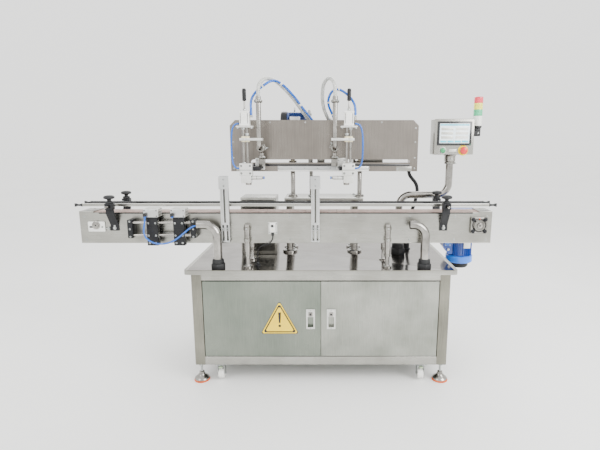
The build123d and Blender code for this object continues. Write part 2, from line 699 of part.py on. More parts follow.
def conduit_elbows():
    """Two bent pipes from the table up over the conveyor's front, open at the end, with their hex nuts."""
    solids = []
    nut_top = TABLE_TOP + NUT_HEIGHT
    for x, end in CONDUITS:
        points = [(x, CONDUIT_Y, TABLE_TOP), (x, CONDUIT_Y, CONDUIT_Z), (end, CONDUIT_Y, CONDUIT_Z)]
        solids.append(pipe(points, CONDUIT, [CONDUIT_BEND], CONDUIT - 2 * CONDUIT_WALL))
        nut = hex_z(NUT_ACROSS, x, CONDUIT_Y, TABLE_TOP, nut_top)
        solids.append(nut - rod_z(CONDUIT, x, CONDUIT_Y, TABLE_TOP, nut_top))
    return solids


# ---- lift ----------------------------------------------------------------------------------------
def lift_columns():
    """Columns, platform and the two guide posts of the height adjustment."""
    x0, x1, y0, y1 = PLATFORM
    top = PLATFORM_Z + PLATFORM_THICKNESS
    solids = [block((x0, x1), (y0, y1), (PLATFORM_Z, top))]
    for x in COLUMN_XS:
        for y in (LIFT_Y, LIFT_Y + 100):
            solids.append(rod_z(80, x, y, TABLE_TOP, TABLE_TOP + 12))
            solids.append(rod_z(COLUMN, x, y, TABLE_TOP + 12, PLATFORM_Z))
    for x in GUIDE_XS:
        solids.append(rod_z(50, x, LIFT_Y, top, top + 10))
        solids.append(rod_z(GUIDE_POST, x, LIFT_Y, top + 10, GUIDE_TOP))
    body = join(solids)
    return body - rod_z(SCREW_JOURNAL + 2 * RUNNING, SCREW_X, LIFT_Y, PLATFORM_Z, top)


def lead_screw():
    """Lifting screw on a thrust collar, with its hand wheel under the platform."""
    top = PLATFORM_Z + PLATFORM_THICKNESS
    return join([
        rod_z(SCREW, SCREW_X, LIFT_Y, top + 1, GUIDE_TOP - 5),
        rod_z(SCREW + 14, SCREW_X, LIFT_Y, top + 1, top + 10),
        rod_z(SCREW_JOURNAL, SCREW_X, LIFT_Y, PLATFORM_Z - 26, top + 1),
        rod_z(70, SCREW_X, LIFT_Y, PLATFORM_Z - 22, PLATFORM_Z - 10),
    ])


def valve_box():
    """Closed stainless box for the air valves, on the table."""
    x0, x1, y0, y1, top = VALVE_BOX
    return block((x0, x1), (y0, y1), (TABLE_TOP, top))


# ---- front panel ---------------------------------------------------------------------------------
def panel_outline():
    """The front sheet's outline, its two upper corners cut off."""
    width, height, cut = PANEL_X1 - PANEL_X0, PANEL_Z1 - PANEL_Z0, PANEL_CORNER
    points = [(0, 0), (width, 0), (width, height - cut), (width - cut, height), (cut, height),
              (0, height - cut)]
    return make_face(Polyline(*points, close=True))


def front_panel():
    """Slotted front sheet, end cheeks and the carrier shelf with its bushes and nut."""
    place = Plane(origin=(PANEL_X0, PANEL_Y, PANEL_Z0), x_dir=(1, 0, 0), z_dir=(0, -1, 0))
    sheet = extrude(place * panel_outline(), -PLATE)
    slot = SlotOverall(SLOT_X1 - SLOT_X0, SLOT_Z1 - SLOT_Z0)
    middle = Plane(origin=((SLOT_X0 + SLOT_X1) / 2, PANEL_Y, (SLOT_Z0 + SLOT_Z1) / 2), x_dir=(1, 0, 0),
                   z_dir=(0, -1, 0))
    sheet -= extrude(middle * slot, -PLATE)
    back = PANEL_Y + PANEL_DEPTH
    inner_y = PANEL_Y + PLATE
    solids = [sheet]
    for x in ((PANEL_X0, PANEL_X0 + PLATE), (PANEL_X1 - PLATE, PANEL_X1)):
        solids.append(block(x, (inner_y, back), (PANEL_Z0, PANEL_Z1 - 60)))
    shelf_y = (inner_y, back)
    solids.append(block((PANEL_X0 + PLATE, PANEL_X1 - PLATE), shelf_y, (CARRIER_Z, CARRIER_Z + CARRIER)))
    outer = GUIDE_POST + 2 * BUSH_WALL
    for x in GUIDE_XS:
        solids.append(rod_z(outer, x, LIFT_Y, CARRIER_Z - 8, CARRIER_Z + 40))
    solids.append(rod_z(outer, SCREW_X, LIFT_Y, CARRIER_Z - 8, CARRIER_Z + 30))
    body = join(solids)
    for x in GUIDE_XS:
        body -= rod_z(GUIDE_POST + 2 * RUNNING, x, LIFT_Y, CARRIER_Z - 10, CARRIER_Z + 45)
    return body - rod_z(SCREW + 2 * RUNNING, SCREW_X, LIFT_Y, CARRIER_Z - 10, CARRIER_Z + 45)


def head_rail():
    """Guide bar behind the slot, standing on the carrier shelf."""
    return block((SLOT_X0 - 20, SLOT_X1 + 20), RAIL_BAR_Y, (CARRIER_Z + CARRIER, RAIL_BAR_TOP))


def head_body(x, toward):
    """Nozzle block, arm over the guide bar, guide rod, plates and valve cylinder of one filling head."""
    y = HEAD_Y
    half = BLOCK_WIDTH / 2
    deep = BLOCK_DEPTH / 2
    solids = [
        block((x - half, x + half), (y - deep, y + deep), (NOZZLE_Z + 45, BLOCK_TOP)),
        block((x - 24, x + 24), (y - 20, y + 20), (NOZZLE_Z, NOZZLE_Z + 45)),
        rod_z(STEM, x - toward * STEM_OFFSET, y, BLOCK_TOP, FLANGE_Z),
        block((x - 40, x + 40), (y - 26, y + 26), (FLANGE_Z, FLANGE_Z + FLANGE)),
    ]
    side = CYLINDER_SIDE / 2
    solids.append(block((x - side, x + side), (y - side, y + side), (FLANGE_Z + FLANGE, CYLINDER_TOP)))
    solids.append(block((x + side, x + side + 14), (y - 6, y + 6), (SUPPLY_PORT_Z - 14, SUPPLY_PORT_Z)))
    tube_x = x + toward * TUBE_OFFSET
    plate_x = sorted((x - toward * 26, tube_x + toward * 18))
    plate = block(plate_x, (y - 20, y + 20), (BUSH_PLATE_Z, BUSH_PLATE_Z + 12))
    plate -= rod_z(PRODUCT_TUBE + 1, tube_x, y, BUSH_PLATE_Z, BUSH_PLATE_Z + 12)
    solids.append(plate)
    arm_x = x + toward * HEAD_ARM_OFFSETS[0 if x < 0 else 1]
    wide = 14.0
    top = (RAIL_BAR_TOP + SLIDING, SLOT_Z1 - SLIDING)
    solids += [
        block((arm_x - wide, arm_x + wide), (PANEL_Y - 8, RAIL_BAR_Y[1] + 8), top),
        block((arm_x - wide, arm_x + wide), (RAIL_BAR_Y[1] + SLIDING, RAIL_BAR_Y[1] + 8),
              (CARRIER_Z + CARRIER + 4, top[1])),
        block((arm_x - 24, arm_x + 24), (PANEL_Y - 16, PANEL_Y - SLIDING), (1040, 1100)),
        block(sorted((x, arm_x + toward * wide)), (y + 10, PANEL_Y - 16), (1044, 1060)),
    ]
    body = join(solids)
    stem_x = x + toward * STEM_OFFSET
    bore = STEM + 2 * RUNNING
    body -= rod_z(bore, stem_x, y, NOZZLE_Z + 20, FLANGE_Z + FLANGE)
    body -= rod_z(PRODUCT_BORE, stem_x, y, NOZZLE_Z, NOZZLE_Z + 20)
    body -= rod_z(GRIP_ROD + 2 * RUNNING, x, y, CYLINDER_TOP - ADJUSTER_REACH - 2, CYLINDER_TOP)
    return body - rod_z(bore, stem_x, y, FLANGE_Z + FLANGE, CYLINDER_TOP - 20)


def valve_stem(x, toward):
    """Shut-off stem: cone tip at the nozzle, collar above the bush plate."""
    stem_x = x + toward * STEM_OFFSET
    return rod_z(STEM, stem_x, HEAD_Y, NOZZLE_Z + 16, CYLINDER_TOP - 22 - STEM_STROKE)


def adjuster(x):
    """Grip on a thin rod that sets the stroke from the cylinder's top."""
    return join([
        rod_z(GRIP_ROD, x, HEAD_Y, CYLINDER_TOP - ADJUSTER_REACH, GRIP_Z0),
        rod_z(18, x, HEAD_Y, CYLINDER_TOP + 1, CYLINDER_TOP + 11),
        rod_z(GRIP, x, HEAD_Y, GRIP_Z0, GRIP_Z1),
    ])


def product_tube(x, toward):
    """Sanitary tube from the hose down to an elbow and the riser near the panel, with clamp rings."""
    tx, y = x + toward * TUBE_OFFSET, HEAD_Y
    points = [(tx, y, PRODUCT_TOP), (tx, y, PRODUCT_ELBOW_Z), (tx, RISER_Y, PRODUCT_ELBOW_Z),
              (tx, RISER_Y, RISER_Z0)]
    solids = [pipe(points, PRODUCT_TUBE, [34.0, 30.0], PRODUCT_BORE)]
    ring = rod_z(CLAMP_RING, tx, y, PRODUCT_TOP - 32, PRODUCT_TOP - 14)
    ring += block((tx - 6, tx + 6), (y - CLAMP_RING / 2 - 14, y - CLAMP_RING / 2 + 6),
                  (PRODUCT_TOP - 28, PRODUCT_TOP - 18))
    solids.append(ring - rod_z(PRODUCT_BORE, tx, y, PRODUCT_TOP - 32, PRODUCT_TOP - 14))
    foot = block((tx - 16, tx + 16), (RISER_Y - 16, RISER_Y + 16), (RISER_Z0 - 38, RISER_Z0 + 2))
    solids.append(foot)
    return join(solids)


# ---- pump ----------------------------------------------------------------------------------------
def pump_unit():
    """Screw frame, two product cylinders and the valve block behind the panel."""
    half = PUMP_FLANGE / 2
    floor = CARRIER_Z + CARRIER
    plates = []
    for x in (PUMP_FLANGE_X, PUMP_END_X):
        plate = block((x, x + 12), (PUMP_Y - half, PUMP_Y + half), (floor, PUMP_Z + half))
        plates.append(plate - rod_x(BALL_SCREW + 2 * RUNNING, x - 1, x + 13, PUMP_Y, PUMP_Z))
    solids = list(plates)
    end = PUMP_END_X + 12
    for y in PUMP_CYLINDER_YS:
        barrel = rod_x(PUMP_CYLINDER, end, end + PUMP_CYLINDER_LENGTH, y, PUMP_CYLINDER_Z)
        bore_end = end + PUMP_CYLINDER_LENGTH - 12
        solids.append(barrel - rod_x(PISTON + 2 * RUNNING, end + 6, bore_end, y, PUMP_CYLINDER_Z))
    saddle = block((end + 40, end + 150), (PUMP_CYLINDER_YS[0] - 30, PUMP_CYLINDER_YS[1] + 30),
                   (floor, PUMP_CYLINDER_Z - 36))
    solids.append(saddle)
    for y in PUMP_CYLINDER_YS:
        solids.append(block((end + 60, end + 130), (y - 12, y + 12),
                            (PUMP_CYLINDER_Z - 36, PUMP_CYLINDER_Z - 32)))
    body = join(solids)
    for y in PUMP_CYLINDER_YS:
        body -= rod_x(PISTON_ROD + 2 * RUNNING, PUMP_END_X - 1, end + 7, y, PUMP_CYLINDER_Z)
    return body


def valve_block():
    """Upright ports in front of the screw that the product hoses and supply tubes push onto."""
    x, y = VALVE_BLOCK_X, 20.0
    floor = CARRIER_Z + CARRIER
    return join([
        block((x - 30, x + 130), (y - 22, y + 22), (1150, VALVE_BLOCK_TOP - 25)),
        block((x + 30, x + 70), (y + 10, y + 22), (floor, 1150)),
        rod_z(HOSE + 8, x, y, VALVE_BLOCK_TOP - 25, VALVE_BLOCK_TOP),
        rod_z(HOSE + 8, x + 100, y, VALVE_BLOCK_TOP - 25, VALVE_BLOCK_TOP),
        *[rod_z(SUPPLY_TUBE + 4, port_x, SUPPLY_PORT_Y, VALVE_BLOCK_TOP - 25, VALVE_BLOCK_TOP)
          for port_x in SUPPLY_PORT_XS],
    ])


def pump_motor():
    """Motor with fan cover, terminal box and lifting eye on the screw's axis."""
    return join([
        rod_x(PUMP_MOTOR, PUMP_MOTOR_X0 + 36, PUMP_FLANGE_X - 12, PUMP_Y, PUMP_Z),
        rod_x(PUMP_MOTOR + 8, PUMP_MOTOR_X0, PUMP_MOTOR_X0 + 36, PUMP_Y, PUMP_Z),
        rod_x(PUMP_MOTOR + 20, PUMP_FLANGE_X - 12, PUMP_FLANGE_X, PUMP_Y, PUMP_Z),
        block((PUMP_MOTOR_X0 + 50, PUMP_MOTOR_X0 + 110), (PUMP_Y - 75, PUMP_Y - 40),
              (PUMP_Z - 25, PUMP_Z + 30)),
        rod_z(14, PUMP_MOTOR_X0 + 75, PUMP_Y, PUMP_Z + 50, PUMP_Z + 62),
        rod_x(28, PUMP_MOTOR_X0 + 71, PUMP_MOTOR_X0 + 79, PUMP_Y, PUMP_Z + 68),
    ])


def ball_screw():
    """Screw between its two frame plates."""
    return join([
        rod_x(BALL_SCREW, PUMP_FLANGE_X + 2, PUMP_END_X + 11, PUMP_Y, PUMP_Z),
        rod_x(BALL_SCREW + 12, PUMP_FLANGE_X + 13, PUMP_FLANGE_X + 20, PUMP_Y, PUMP_Z),
    ])


def pump_pistons():
    """Crosshead on the screw with both piston rods and pistons."""
    x0, x1 = CROSSHEAD_X, CROSSHEAD_X + CROSSHEAD
    y = (PUMP_CYLINDER_YS[0] - 14, PUMP_CYLINDER_YS[1] + 14)
    head = block((x0, x1), y, (PUMP_CYLINDER_Z - 14, PUMP_Z + 22))
    head -= rod_x(BALL_SCREW + 2 * RUNNING, x0, x1, PUMP_Y, PUMP_Z)
    solids = [head]
    for piston_y in PUMP_CYLINDER_YS:
        tip = PUMP_END_X + 12 + 8
        solids.append(rod_x(PISTON_ROD, x1, tip, piston_y, PUMP_CYLINDER_Z))
        solids.append(rod_x(PISTON, tip, tip + 24, piston_y, PUMP_CYLINDER_Z))
    return join(solids)


# ---- control box ---------------------------------------------------------------------------------
def hmi_arm():
    """Bent pole from a hex nut on the table, along behind the conveyor and up to the box."""
    points = [(ARM_X, POLE_Y, TABLE_TOP), (ARM_X, POLE_Y, ARM_Z), (POLE_X, POLE_Y, ARM_Z),
              (POLE_X, POLE_Y, BOX_Z0 - 4)]
    nut_top = TABLE_TOP + 62
    nut = hex_z(NUT_ACROSS + 10, ARM_X, POLE_Y, TABLE_TOP, nut_top)
    nut -= rod_z(POLE, ARM_X, POLE_Y, TABLE_TOP, nut_top)
    arm = pipe(points, POLE, [ARM_BEND, ARM_BEND])
    collar = rod_z(POLE + 16, POLE_X, POLE_Y, SOCKET_Z - 14, SOCKET_Z - 1)
    return join([arm, nut, collar])


def hmi_box():
    """Control box with its pole socket, button bores and the tower light's ears."""
    back = BOX_Y + BOX_DEPTH
    shell = block((BOX_X0, BOX_X1), (BOX_Y, back), (BOX_Z0, BOX_Z1))
    socket = rod_z(POLE + 18, POLE_X, POLE_Y, SOCKET_Z, BOX_Z0)
    socket -= rod_z(POLE + 2 * RUNNING, POLE_X, POLE_Y, SOCKET_Z, BOX_Z0)
    body = shell + socket
    bore = BUTTON_STEM + 2 * RUNNING
    for x in (START_X, STOP_X):
        body -= rod_y(bore, x, BOX_Y, BOX_Y + 26, BUTTON_Z)
    ears = [block((BOX_X1, BOX_X1 + 5), (-22, 22), (1205, 1240))]
    for y in ((-22, -16), (16, 22)):
        ears.append(block((BOX_X1 + 5, LIGHT_X + 12), y, (1210, 1238)))
    ears.append(rod_y(LIGHT_PIN, LIGHT_X, -22, 22, LIGHT_PIVOT_Z))
    return join([body, *ears])


def start_button():
    return join([
        rod_y(BUTTON_STEM, START_X, BOX_Y - 6, BOX_Y + 18, BUTTON_Z),
        rod_y(BUTTON_STEM + 4, START_X, BOX_Y - 10, BOX_Y - 6, BUTTON_Z),
    ])


def stop_button():
    return join([
        rod_y(BUTTON_STEM, STOP_X, BOX_Y - 12, BOX_Y + 16, BUTTON_Z),
        rod_y(38, STOP_X, BOX_Y - 24, BOX_Y - 12, BUTTON_Z),
    ])


def tower_light():
    """Signal light on a folding foot."""
    foot = block((LIGHT_X - 15, LIGHT_X + 15), (-15, 15), (LIGHT_PIVOT_Z - 13, LIGHT_PIVOT_Z + 26))
    foot -= rod_y(LIGHT_PIN + 2 * RUNNING, LIGHT_X, -15, 15, LIGHT_PIVOT_Z)
    return join([foot, rod_z(LIGHT, LIGHT_X, 0, LIGHT_PIVOT_Z + 26, LIGHT_TOP)])


# ---- hoses and cables ----------------------------------------------------------------------------
def mirror_points(points, x):
    return [(2 * x - a, b, c) for a, b, c in points]


LEFT_TUBE_X = HEAD_XS[0] + TUBE_OFFSET
RIGHT_TUBE_X = HEAD_XS[1] - TUBE_OFFSET
PORT_Y = 20.0

PRODUCT_HOSE_LEFT = [
    (LEFT_TUBE_X, HEAD_Y, PRODUCT_TOP), (LEFT_TUBE_X, HEAD_Y, 1434), (-115, -178, 1464), (-91, -154, 1482),
    (-58, -122, 1478), (-26, -92, 1455), (6, -63, 1424), (36, -36, 1390), (63, -13, 1352),
    (88, 3, 1317), (108, 15, 1292), (VALVE_BLOCK_X, PORT_Y, 1268),
    (VALVE_BLOCK_X, PORT_Y, VALVE_BLOCK_TOP),
]
PRODUCT_HOSE_RIGHT = [
    (RIGHT_TUBE_X, HEAD_Y, PRODUCT_TOP), (RIGHT_TUBE_X, HEAD_Y, 1430), (232, -181, 1461), (217, -158, 1481),
    (199, -131, 1481), (184, -108, 1461), (178, -96, 1429), (177, -87, 1394), (181, -72, 1361),
    (189, -49, 1334), (200, -24, 1312), (211, 0, 1292),
    (VALVE_BLOCK_X + 100, PORT_Y, 1268), (VALVE_BLOCK_X + 100, PORT_Y, VALVE_BLOCK_TOP),
]
SUPPLY_TUBE_LEFT = [
    (HEAD_XS[0] + 31, HEAD_Y, SUPPLY_PORT_Z), (HEAD_XS[0] + 31, HEAD_Y, 1334), (-164, -187, 1362),
    (-158, -178, 1390), (-143, -168, 1414), (-121, -164, 1434), (-97, -167, 1450), (-72, -158, 1468),
    (-45, -135, 1473), (-13, -105, 1455), (19, -76, 1424), (49, -49, 1390), (76, -26, 1352),
    (106, -9, 1318), (128, -1, 1288), (SUPPLY_PORT_XS[0], SUPPLY_PORT_Y, 1264),
    (SUPPLY_PORT_XS[0], SUPPLY_PORT_Y, VALVE_BLOCK_TOP),
]
SUPPLY_TUBE_RIGHT = [
    (HEAD_XS[1] + 31, HEAD_Y, SUPPLY_PORT_Z), (HEAD_XS[1] + 31, HEAD_Y, 1334), (330, -182, 1360),
    (316, -168, 1386), (294, -162, 1408), (270, -163, 1424), (246, -162, 1430), (225, -150, 1423),
    (211, -132, 1402), (205, -110, 1377), (210, -86, 1353), (221, -63, 1332), (232, -38, 1310),
    (241, -14, 1288), (SUPPLY_PORT_XS[1], SUPPLY_PORT_Y, 1264),
    (SUPPLY_PORT_XS[1], SUPPLY_PORT_Y, VALVE_BLOCK_TOP),
]
AIR_HOSE_LEFT = [
    (-217, HEAD_Y, 1268), (-233, HEAD_Y, 1268), (-247, HEAD_Y, 1260), (-255, HEAD_Y, 1244),
    (-260, HEAD_Y, 1218), (-262, HEAD_Y + 1, 1180), (-262, HEAD_Y, 1142), (-261, HEAD_Y, 1106),
    (-257, HEAD_Y, 1080), (-250, HEAD_Y, 1063), (-238, HEAD_Y, 1055), (-223, HEAD_Y, 1055),
]
GATE_AIR_HOSE = [
    (-655, -318, 838), (-655, -318, 818), (-660, -322, 792), (-661, -328, 764), (-651, -333, 740),
    (-630, -335, 722), (-602, -335, 712), (-567, -334, 710), (-530, -332, 720), (-497, -328, 741),
    (-469, -320, 765), (-446, -309, 784), (-425, -303, 793), (-402, -301, 795),
]
SENSOR_CABLE = [
    (-64, PLATE_FRONT - 14, 734), (-64, PLATE_FRONT - 14, 718), (-73, -261, 702), (-90, -263, 692),
    (-110, -263, 688), (-127, -259, 679), (-138, -251, 662), (-142, -241, 641), (-142, -233, 618),
    (-142, -233, 596),
]
HEAD_CONDUIT = [
    (646, 60, CARRIER_Z), (646, 60, 1012), (664, 63, 986), (688, 66, 962), (700, 70, 925), (697, 77, 880),
    (686, 86, 834), (674, 96, 788), (665, 106, 744), (660, 114, 702), (658, 119, 659), (658, 119, 616),
]


def cord_glands():
    """Table fittings that the head conduit and the sensor cable end in."""
    conduit, cable = HEAD_CONDUIT[-1], SENSOR_CABLE[-1]
    return rod_z(34, conduit[0], conduit[1], TABLE_TOP, conduit[2]) + rod_z(
        14, cable[0], cable[1], TABLE_TOP, cable[2])


# ---- write every node ----------------------------------------------------------------------------
NODES = {
    "base_frame": base_frame(),
    "cabinet_panels": cabinet_panels(),
    "table_top": table_top() + cord_glands(),
    "door_left": door(-1),
    "door_right": door(1),
    "feet_and_forks": Compound(children=[*levelling_feet().solids(), *caster_forks().solids()]),
    "caster_wheels_front": caster_wheels(-SUPPORT_Y),
    "caster_wheels_rear": caster_wheels(SUPPORT_Y),
    "conveyor_frame": conveyor_frame(),
    "conveyor_belt": conveyor_belt(),
    "shaft_bearings": shaft_bearings(),
    "drive_shaft": sprocket_shaft(DRIVE_X, PLATE_FRONT - BEARING_THICKNESS - 12, GEARBOX_Y[1] - 4),
    "idler_shaft": sprocket_shaft(IDLER_X, PLATE_FRONT - 16, PLATE_BACK + 16),
    "conveyor_gearmotor": conveyor_gearmotor(),
    "conveyor_posts": conveyor_posts(),
    "rail_brackets": rail_brackets(),
    "front_guide_rail": guide_rail(-1),
    "rear_guide_rail": guide_rail(1),
    "gate_rods": gate_rods(),
    "bottle_sensor": bottle_sensor(),
    "bent_pipes": Compound(children=[*[s.solid() for s in conduit_elbows()], *hmi_arm().solids()]),
    "lift_columns": lift_columns(),
    "lead_screw": lead_screw(),
    "valve_box": valve_box(),
    "front_panel": Compound(children=[*front_panel().solids(), head_rail().solid()]),
    "pump_unit": Compound(children=[*pump_unit().solids(), *valve_block().solids()]),
    "pump_motor": pump_motor(),
    "pump_ball_screw": ball_screw(),
    "pump_pistons": pump_pistons(),
    "hmi_box": hmi_box(),
    "start_button": start_button(),
    "stop_button": stop_button(),
    "tower_light": tower_light(),
    "product_hose_left": cord("product_hose_left", PRODUCT_HOSE_LEFT, HOSE),
    "product_hose_right": cord("product_hose_right", PRODUCT_HOSE_RIGHT, HOSE),
    "supply_tube_left": cord("supply_tube_left", SUPPLY_TUBE_LEFT, SUPPLY_TUBE),
    "supply_tube_right": cord("supply_tube_right", SUPPLY_TUBE_RIGHT, SUPPLY_TUBE),
    "air_hose_left": cord("air_hose_left", AIR_HOSE_LEFT, AIR_HOSE),
    "air_hose_right": cord("air_hose_right", mirror_points(AIR_HOSE_LEFT, sum(HEAD_XS) / 2), AIR_HOSE),
    "gate_air_hose": cord("gate_air_hose", GATE_AIR_HOSE, AIR_HOSE),
    "sensor_cable": cord("sensor_cable", SENSOR_CABLE, 5.0),
    "head_conduit": cord("head_conduit", HEAD_CONDUIT, 20.0),
}
for number, post_x in enumerate(PROFILE_XS):
    NODES[f"sensor_post_{'left' if number == 0 else 'right'}"] = sensor_post(post_x)
for number, carriage_x in enumerate(CARRIAGE_XS, start=1):
    NODES[f"gate_carriage_{number}"] = gate_carriage(carriage_x)
    NODES[f"gate_stop_{number}"] = gate_stop(carriage_x)
for row, side in (("front", -1), ("rear", 1)):
    for name, knob_x in zip(("left", "right"), BRACKET_XS):
        NODES[f"rail_knob_{row}_{name}"] = rail_knob(knob_x, side)
for name, head_x, toward in (("left", HEAD_XS[0], 1), ("right", HEAD_XS[1], -1)):
    NODES[f"head_body_{name}"] = head_body(head_x, toward)
    NODES[f"valve_stem_{name}"] = valve_stem(head_x, toward)
    NODES[f"adjuster_{name}"] = adjuster(head_x)
    NODES[f"product_tube_{name}"] = product_tube(head_x, toward)

for node, shape in NODES.items():
    save(node, shape)
print(len(NODES), "nodes")
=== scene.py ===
"""Looks of a two-head piston liquid filler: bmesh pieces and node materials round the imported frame."""

from __future__ import annotations

import json
import logging
import math
from dataclasses import dataclass
from enum import Enum
from typing import Callable, Iterable, Sequence

import bmesh
import bpy
from mathutils import Matrix, Vector

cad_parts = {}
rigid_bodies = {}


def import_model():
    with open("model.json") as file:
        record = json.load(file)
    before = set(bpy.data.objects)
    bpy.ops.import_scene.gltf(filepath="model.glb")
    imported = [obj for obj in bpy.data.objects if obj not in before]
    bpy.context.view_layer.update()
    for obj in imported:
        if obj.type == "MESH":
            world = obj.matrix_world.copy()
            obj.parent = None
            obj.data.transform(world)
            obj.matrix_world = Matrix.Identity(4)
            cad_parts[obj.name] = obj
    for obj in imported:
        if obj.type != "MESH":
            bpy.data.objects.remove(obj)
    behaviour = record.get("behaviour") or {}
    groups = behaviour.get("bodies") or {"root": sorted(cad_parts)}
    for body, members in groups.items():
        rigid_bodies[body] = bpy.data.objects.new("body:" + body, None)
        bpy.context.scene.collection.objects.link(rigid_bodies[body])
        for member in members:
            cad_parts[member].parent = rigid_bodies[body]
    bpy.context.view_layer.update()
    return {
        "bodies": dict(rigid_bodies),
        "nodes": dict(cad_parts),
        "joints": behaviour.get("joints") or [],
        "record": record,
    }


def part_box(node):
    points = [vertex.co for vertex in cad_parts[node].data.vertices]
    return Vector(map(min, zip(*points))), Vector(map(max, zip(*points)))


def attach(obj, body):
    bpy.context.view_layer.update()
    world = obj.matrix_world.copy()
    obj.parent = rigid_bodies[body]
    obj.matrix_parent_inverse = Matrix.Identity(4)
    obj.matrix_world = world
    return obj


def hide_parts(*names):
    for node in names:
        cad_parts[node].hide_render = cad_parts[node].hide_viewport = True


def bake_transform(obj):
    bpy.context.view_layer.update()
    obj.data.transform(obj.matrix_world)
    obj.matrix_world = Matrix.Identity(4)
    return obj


LOG = logging.getLogger("filler")
MM = 0.001
SHARP = math.radians(32)
Point = Sequence[float]


class Axis(Enum):
    """Directions of the row frame."""

    X = (1.0, 0.0, 0.0)
    Y = (0.0, 1.0, 0.0)
    Z = (0.0, 0.0, 1.0)


class Side(Enum):
    """Left or right hand of the machine."""

    LEFT = -1
    RIGHT = 1

    @property
    def word(self) -> str:
        """The side's name in lower case."""
        return self.name.lower()


# ---- materials -----------------------------------------------------------------------------------
def linear(colour: str) -> tuple[float, float, float, float]:
    """Turns an sRGB hex value such as "8c8a84" into a linear colour with alpha 1."""
    parts = [int(colour[i:i + 2], 16) / 255 for i in (0, 2, 4)]
    red, green, blue = (c / 12.92 if c <= 0.04045 else ((c + 0.055) / 1.055) ** 2.4 for c in parts)
    return red, green, blue, 1.0


def add(tree: bpy.types.NodeTree, kind: str, settings: dict, **inputs: object) -> bpy.types.Node:
    """Adds a node.

    Args:
        tree: The material's node tree.
        kind: The node type without its "ShaderNode" prefix.
        settings: Attributes to set on the node.
        inputs: Socket names, with underscores for spaces, to an output socket or a value.

    Returns:
        The new node.
    """
    node = tree.nodes.new("ShaderNode" + kind)
    for name, value in settings.items():
        setattr(node, name, value)
    for name, value in inputs.items():
        socket = node.inputs[name.replace("_", " ")]
        if isinstance(value, bpy.types.NodeSocket):
            tree.links.new(value, socket)
        else:
            socket.default_value = value
    return node


@dataclass(frozen=True)
class Finish:
    """A surface: two shades that drift into each other, a roughness range and a fine relief.

    Attributes:
        name: The material's common name and how its surface was made.
        light: sRGB hex value of the lighter shade.
        dark: sRGB hex value of the darker shade.
        metallic: 1 on bare metal.
        roughness: Roughness of the clean surface.
        rough_spread: How much the pattern adds to it.
        grain_mm: Size of the pattern across and along the grain.
        along: Direction of the grain.
        relief: Bump strength.
        patch_mm: Size of handling marks and cloudy patches.
        coat: Clear coat weight.
        transmission: Share of light let through.
        glow: Emission strength.
        index: Refractive index.
    """

    name: str
    light: str
    dark: str
    metallic: float = 0.0
    roughness: float = 0.5
    rough_spread: float = 0.12
    grain_mm: tuple[float, float] = (3.0, 3.0)
    along: Axis = Axis.Z
    relief: float = 0.05
    patch_mm: float = 140.0
    coat: float = 0.0
    transmission: float = 0.0
    glow: float = 0.0
    index: float = 1.5

    def material(self) -> bpy.types.Material:
        """The finish as a Blender material, made once."""
        found = bpy.data.materials.get(self.name)
        return found or self._make()

    def _make(self) -> bpy.types.Material:
        """Builds the node tree: cloudy patches tint the colour, the grain drives gloss and relief."""
        made = bpy.data.materials.new(self.name)
        made.use_nodes = True
        tree = made.node_tree
        shader = tree.nodes["Principled BSDF"]
        place = add(tree, "TexCoord", {}).outputs["Object"]
        across, length = (1 / (MM * size) for size in self.grain_mm)
        scale = [length if part else across for part in self.along.value]
        stretched = add(tree, "Mapping", {}, Vector=place, Scale=scale).outputs[0]
        grain = add(tree, "TexNoise", {}, Vector=stretched, Scale=1.0, Detail=3.0, Roughness=0.6).outputs[0]
        patch = add(tree, "TexNoise", {}, Vector=place, Scale=1 / (MM * self.patch_mm), Detail=4.0).outputs[0]
        blend = add(tree, "Math", {"operation": "ADD", "use_clamp": True}).inputs
        share = blend[0].node
        tree.links.new(self._spread(tree, grain, 0.55), blend[0])
        tree.links.new(self._spread(tree, patch, 0.75), blend[1])
        colour = add(tree, "Mix", {"data_type": "RGBA"}, Factor=share.outputs[0])
        colour.inputs[6].default_value = linear(self.dark)
        colour.inputs[7].default_value = linear(self.light)
        tree.links.new(colour.outputs[2], shader.inputs["Base Color"])
        low, high = self.roughness, min(1.0, self.roughness + self.rough_spread)
        rough = add(tree, "MapRange", {}, Value=share.outputs[0], To_Min=high, To_Max=low)
        tree.links.new(rough.outputs[0], shader.inputs["Roughness"])
        bump = add(tree, "Bump", {}, Height=grain, Strength=self.relief, Distance=MM)
        tree.links.new(bump.outputs[0], shader.inputs["Normal"])
        self._constants(shader)
        return made

    @staticmethod
    def _spread(tree: bpy.types.NodeTree, value: bpy.types.NodeSocket, gain: float) -> bpy.types.NodeSocket:
        """Stretches a noise value about its middle so that half of gain is its mean."""
        node = add(tree, "MapRange", {}, Value=value, From_Min=0.3, From_Max=0.7, To_Min=0.0, To_Max=gain)
        return node.outputs[0]

    def _constants(self, shader: bpy.types.Node) -> None:
        """Sets what is the same all over the surface."""
        shader.inputs["Metallic"].default_value = self.metallic
        shader.inputs["IOR"].default_value = self.index
        shader.inputs["Coat Weight"].default_value = self.coat
        shader.inputs["Coat Roughness"].default_value = 0.08
        shader.inputs["Transmission Weight"].default_value = self.transmission
        if self.glow:
            shader.inputs["Emission Color"].default_value = linear(self.light)
            shader.inputs["Emission Strength"].default_value = self.glow


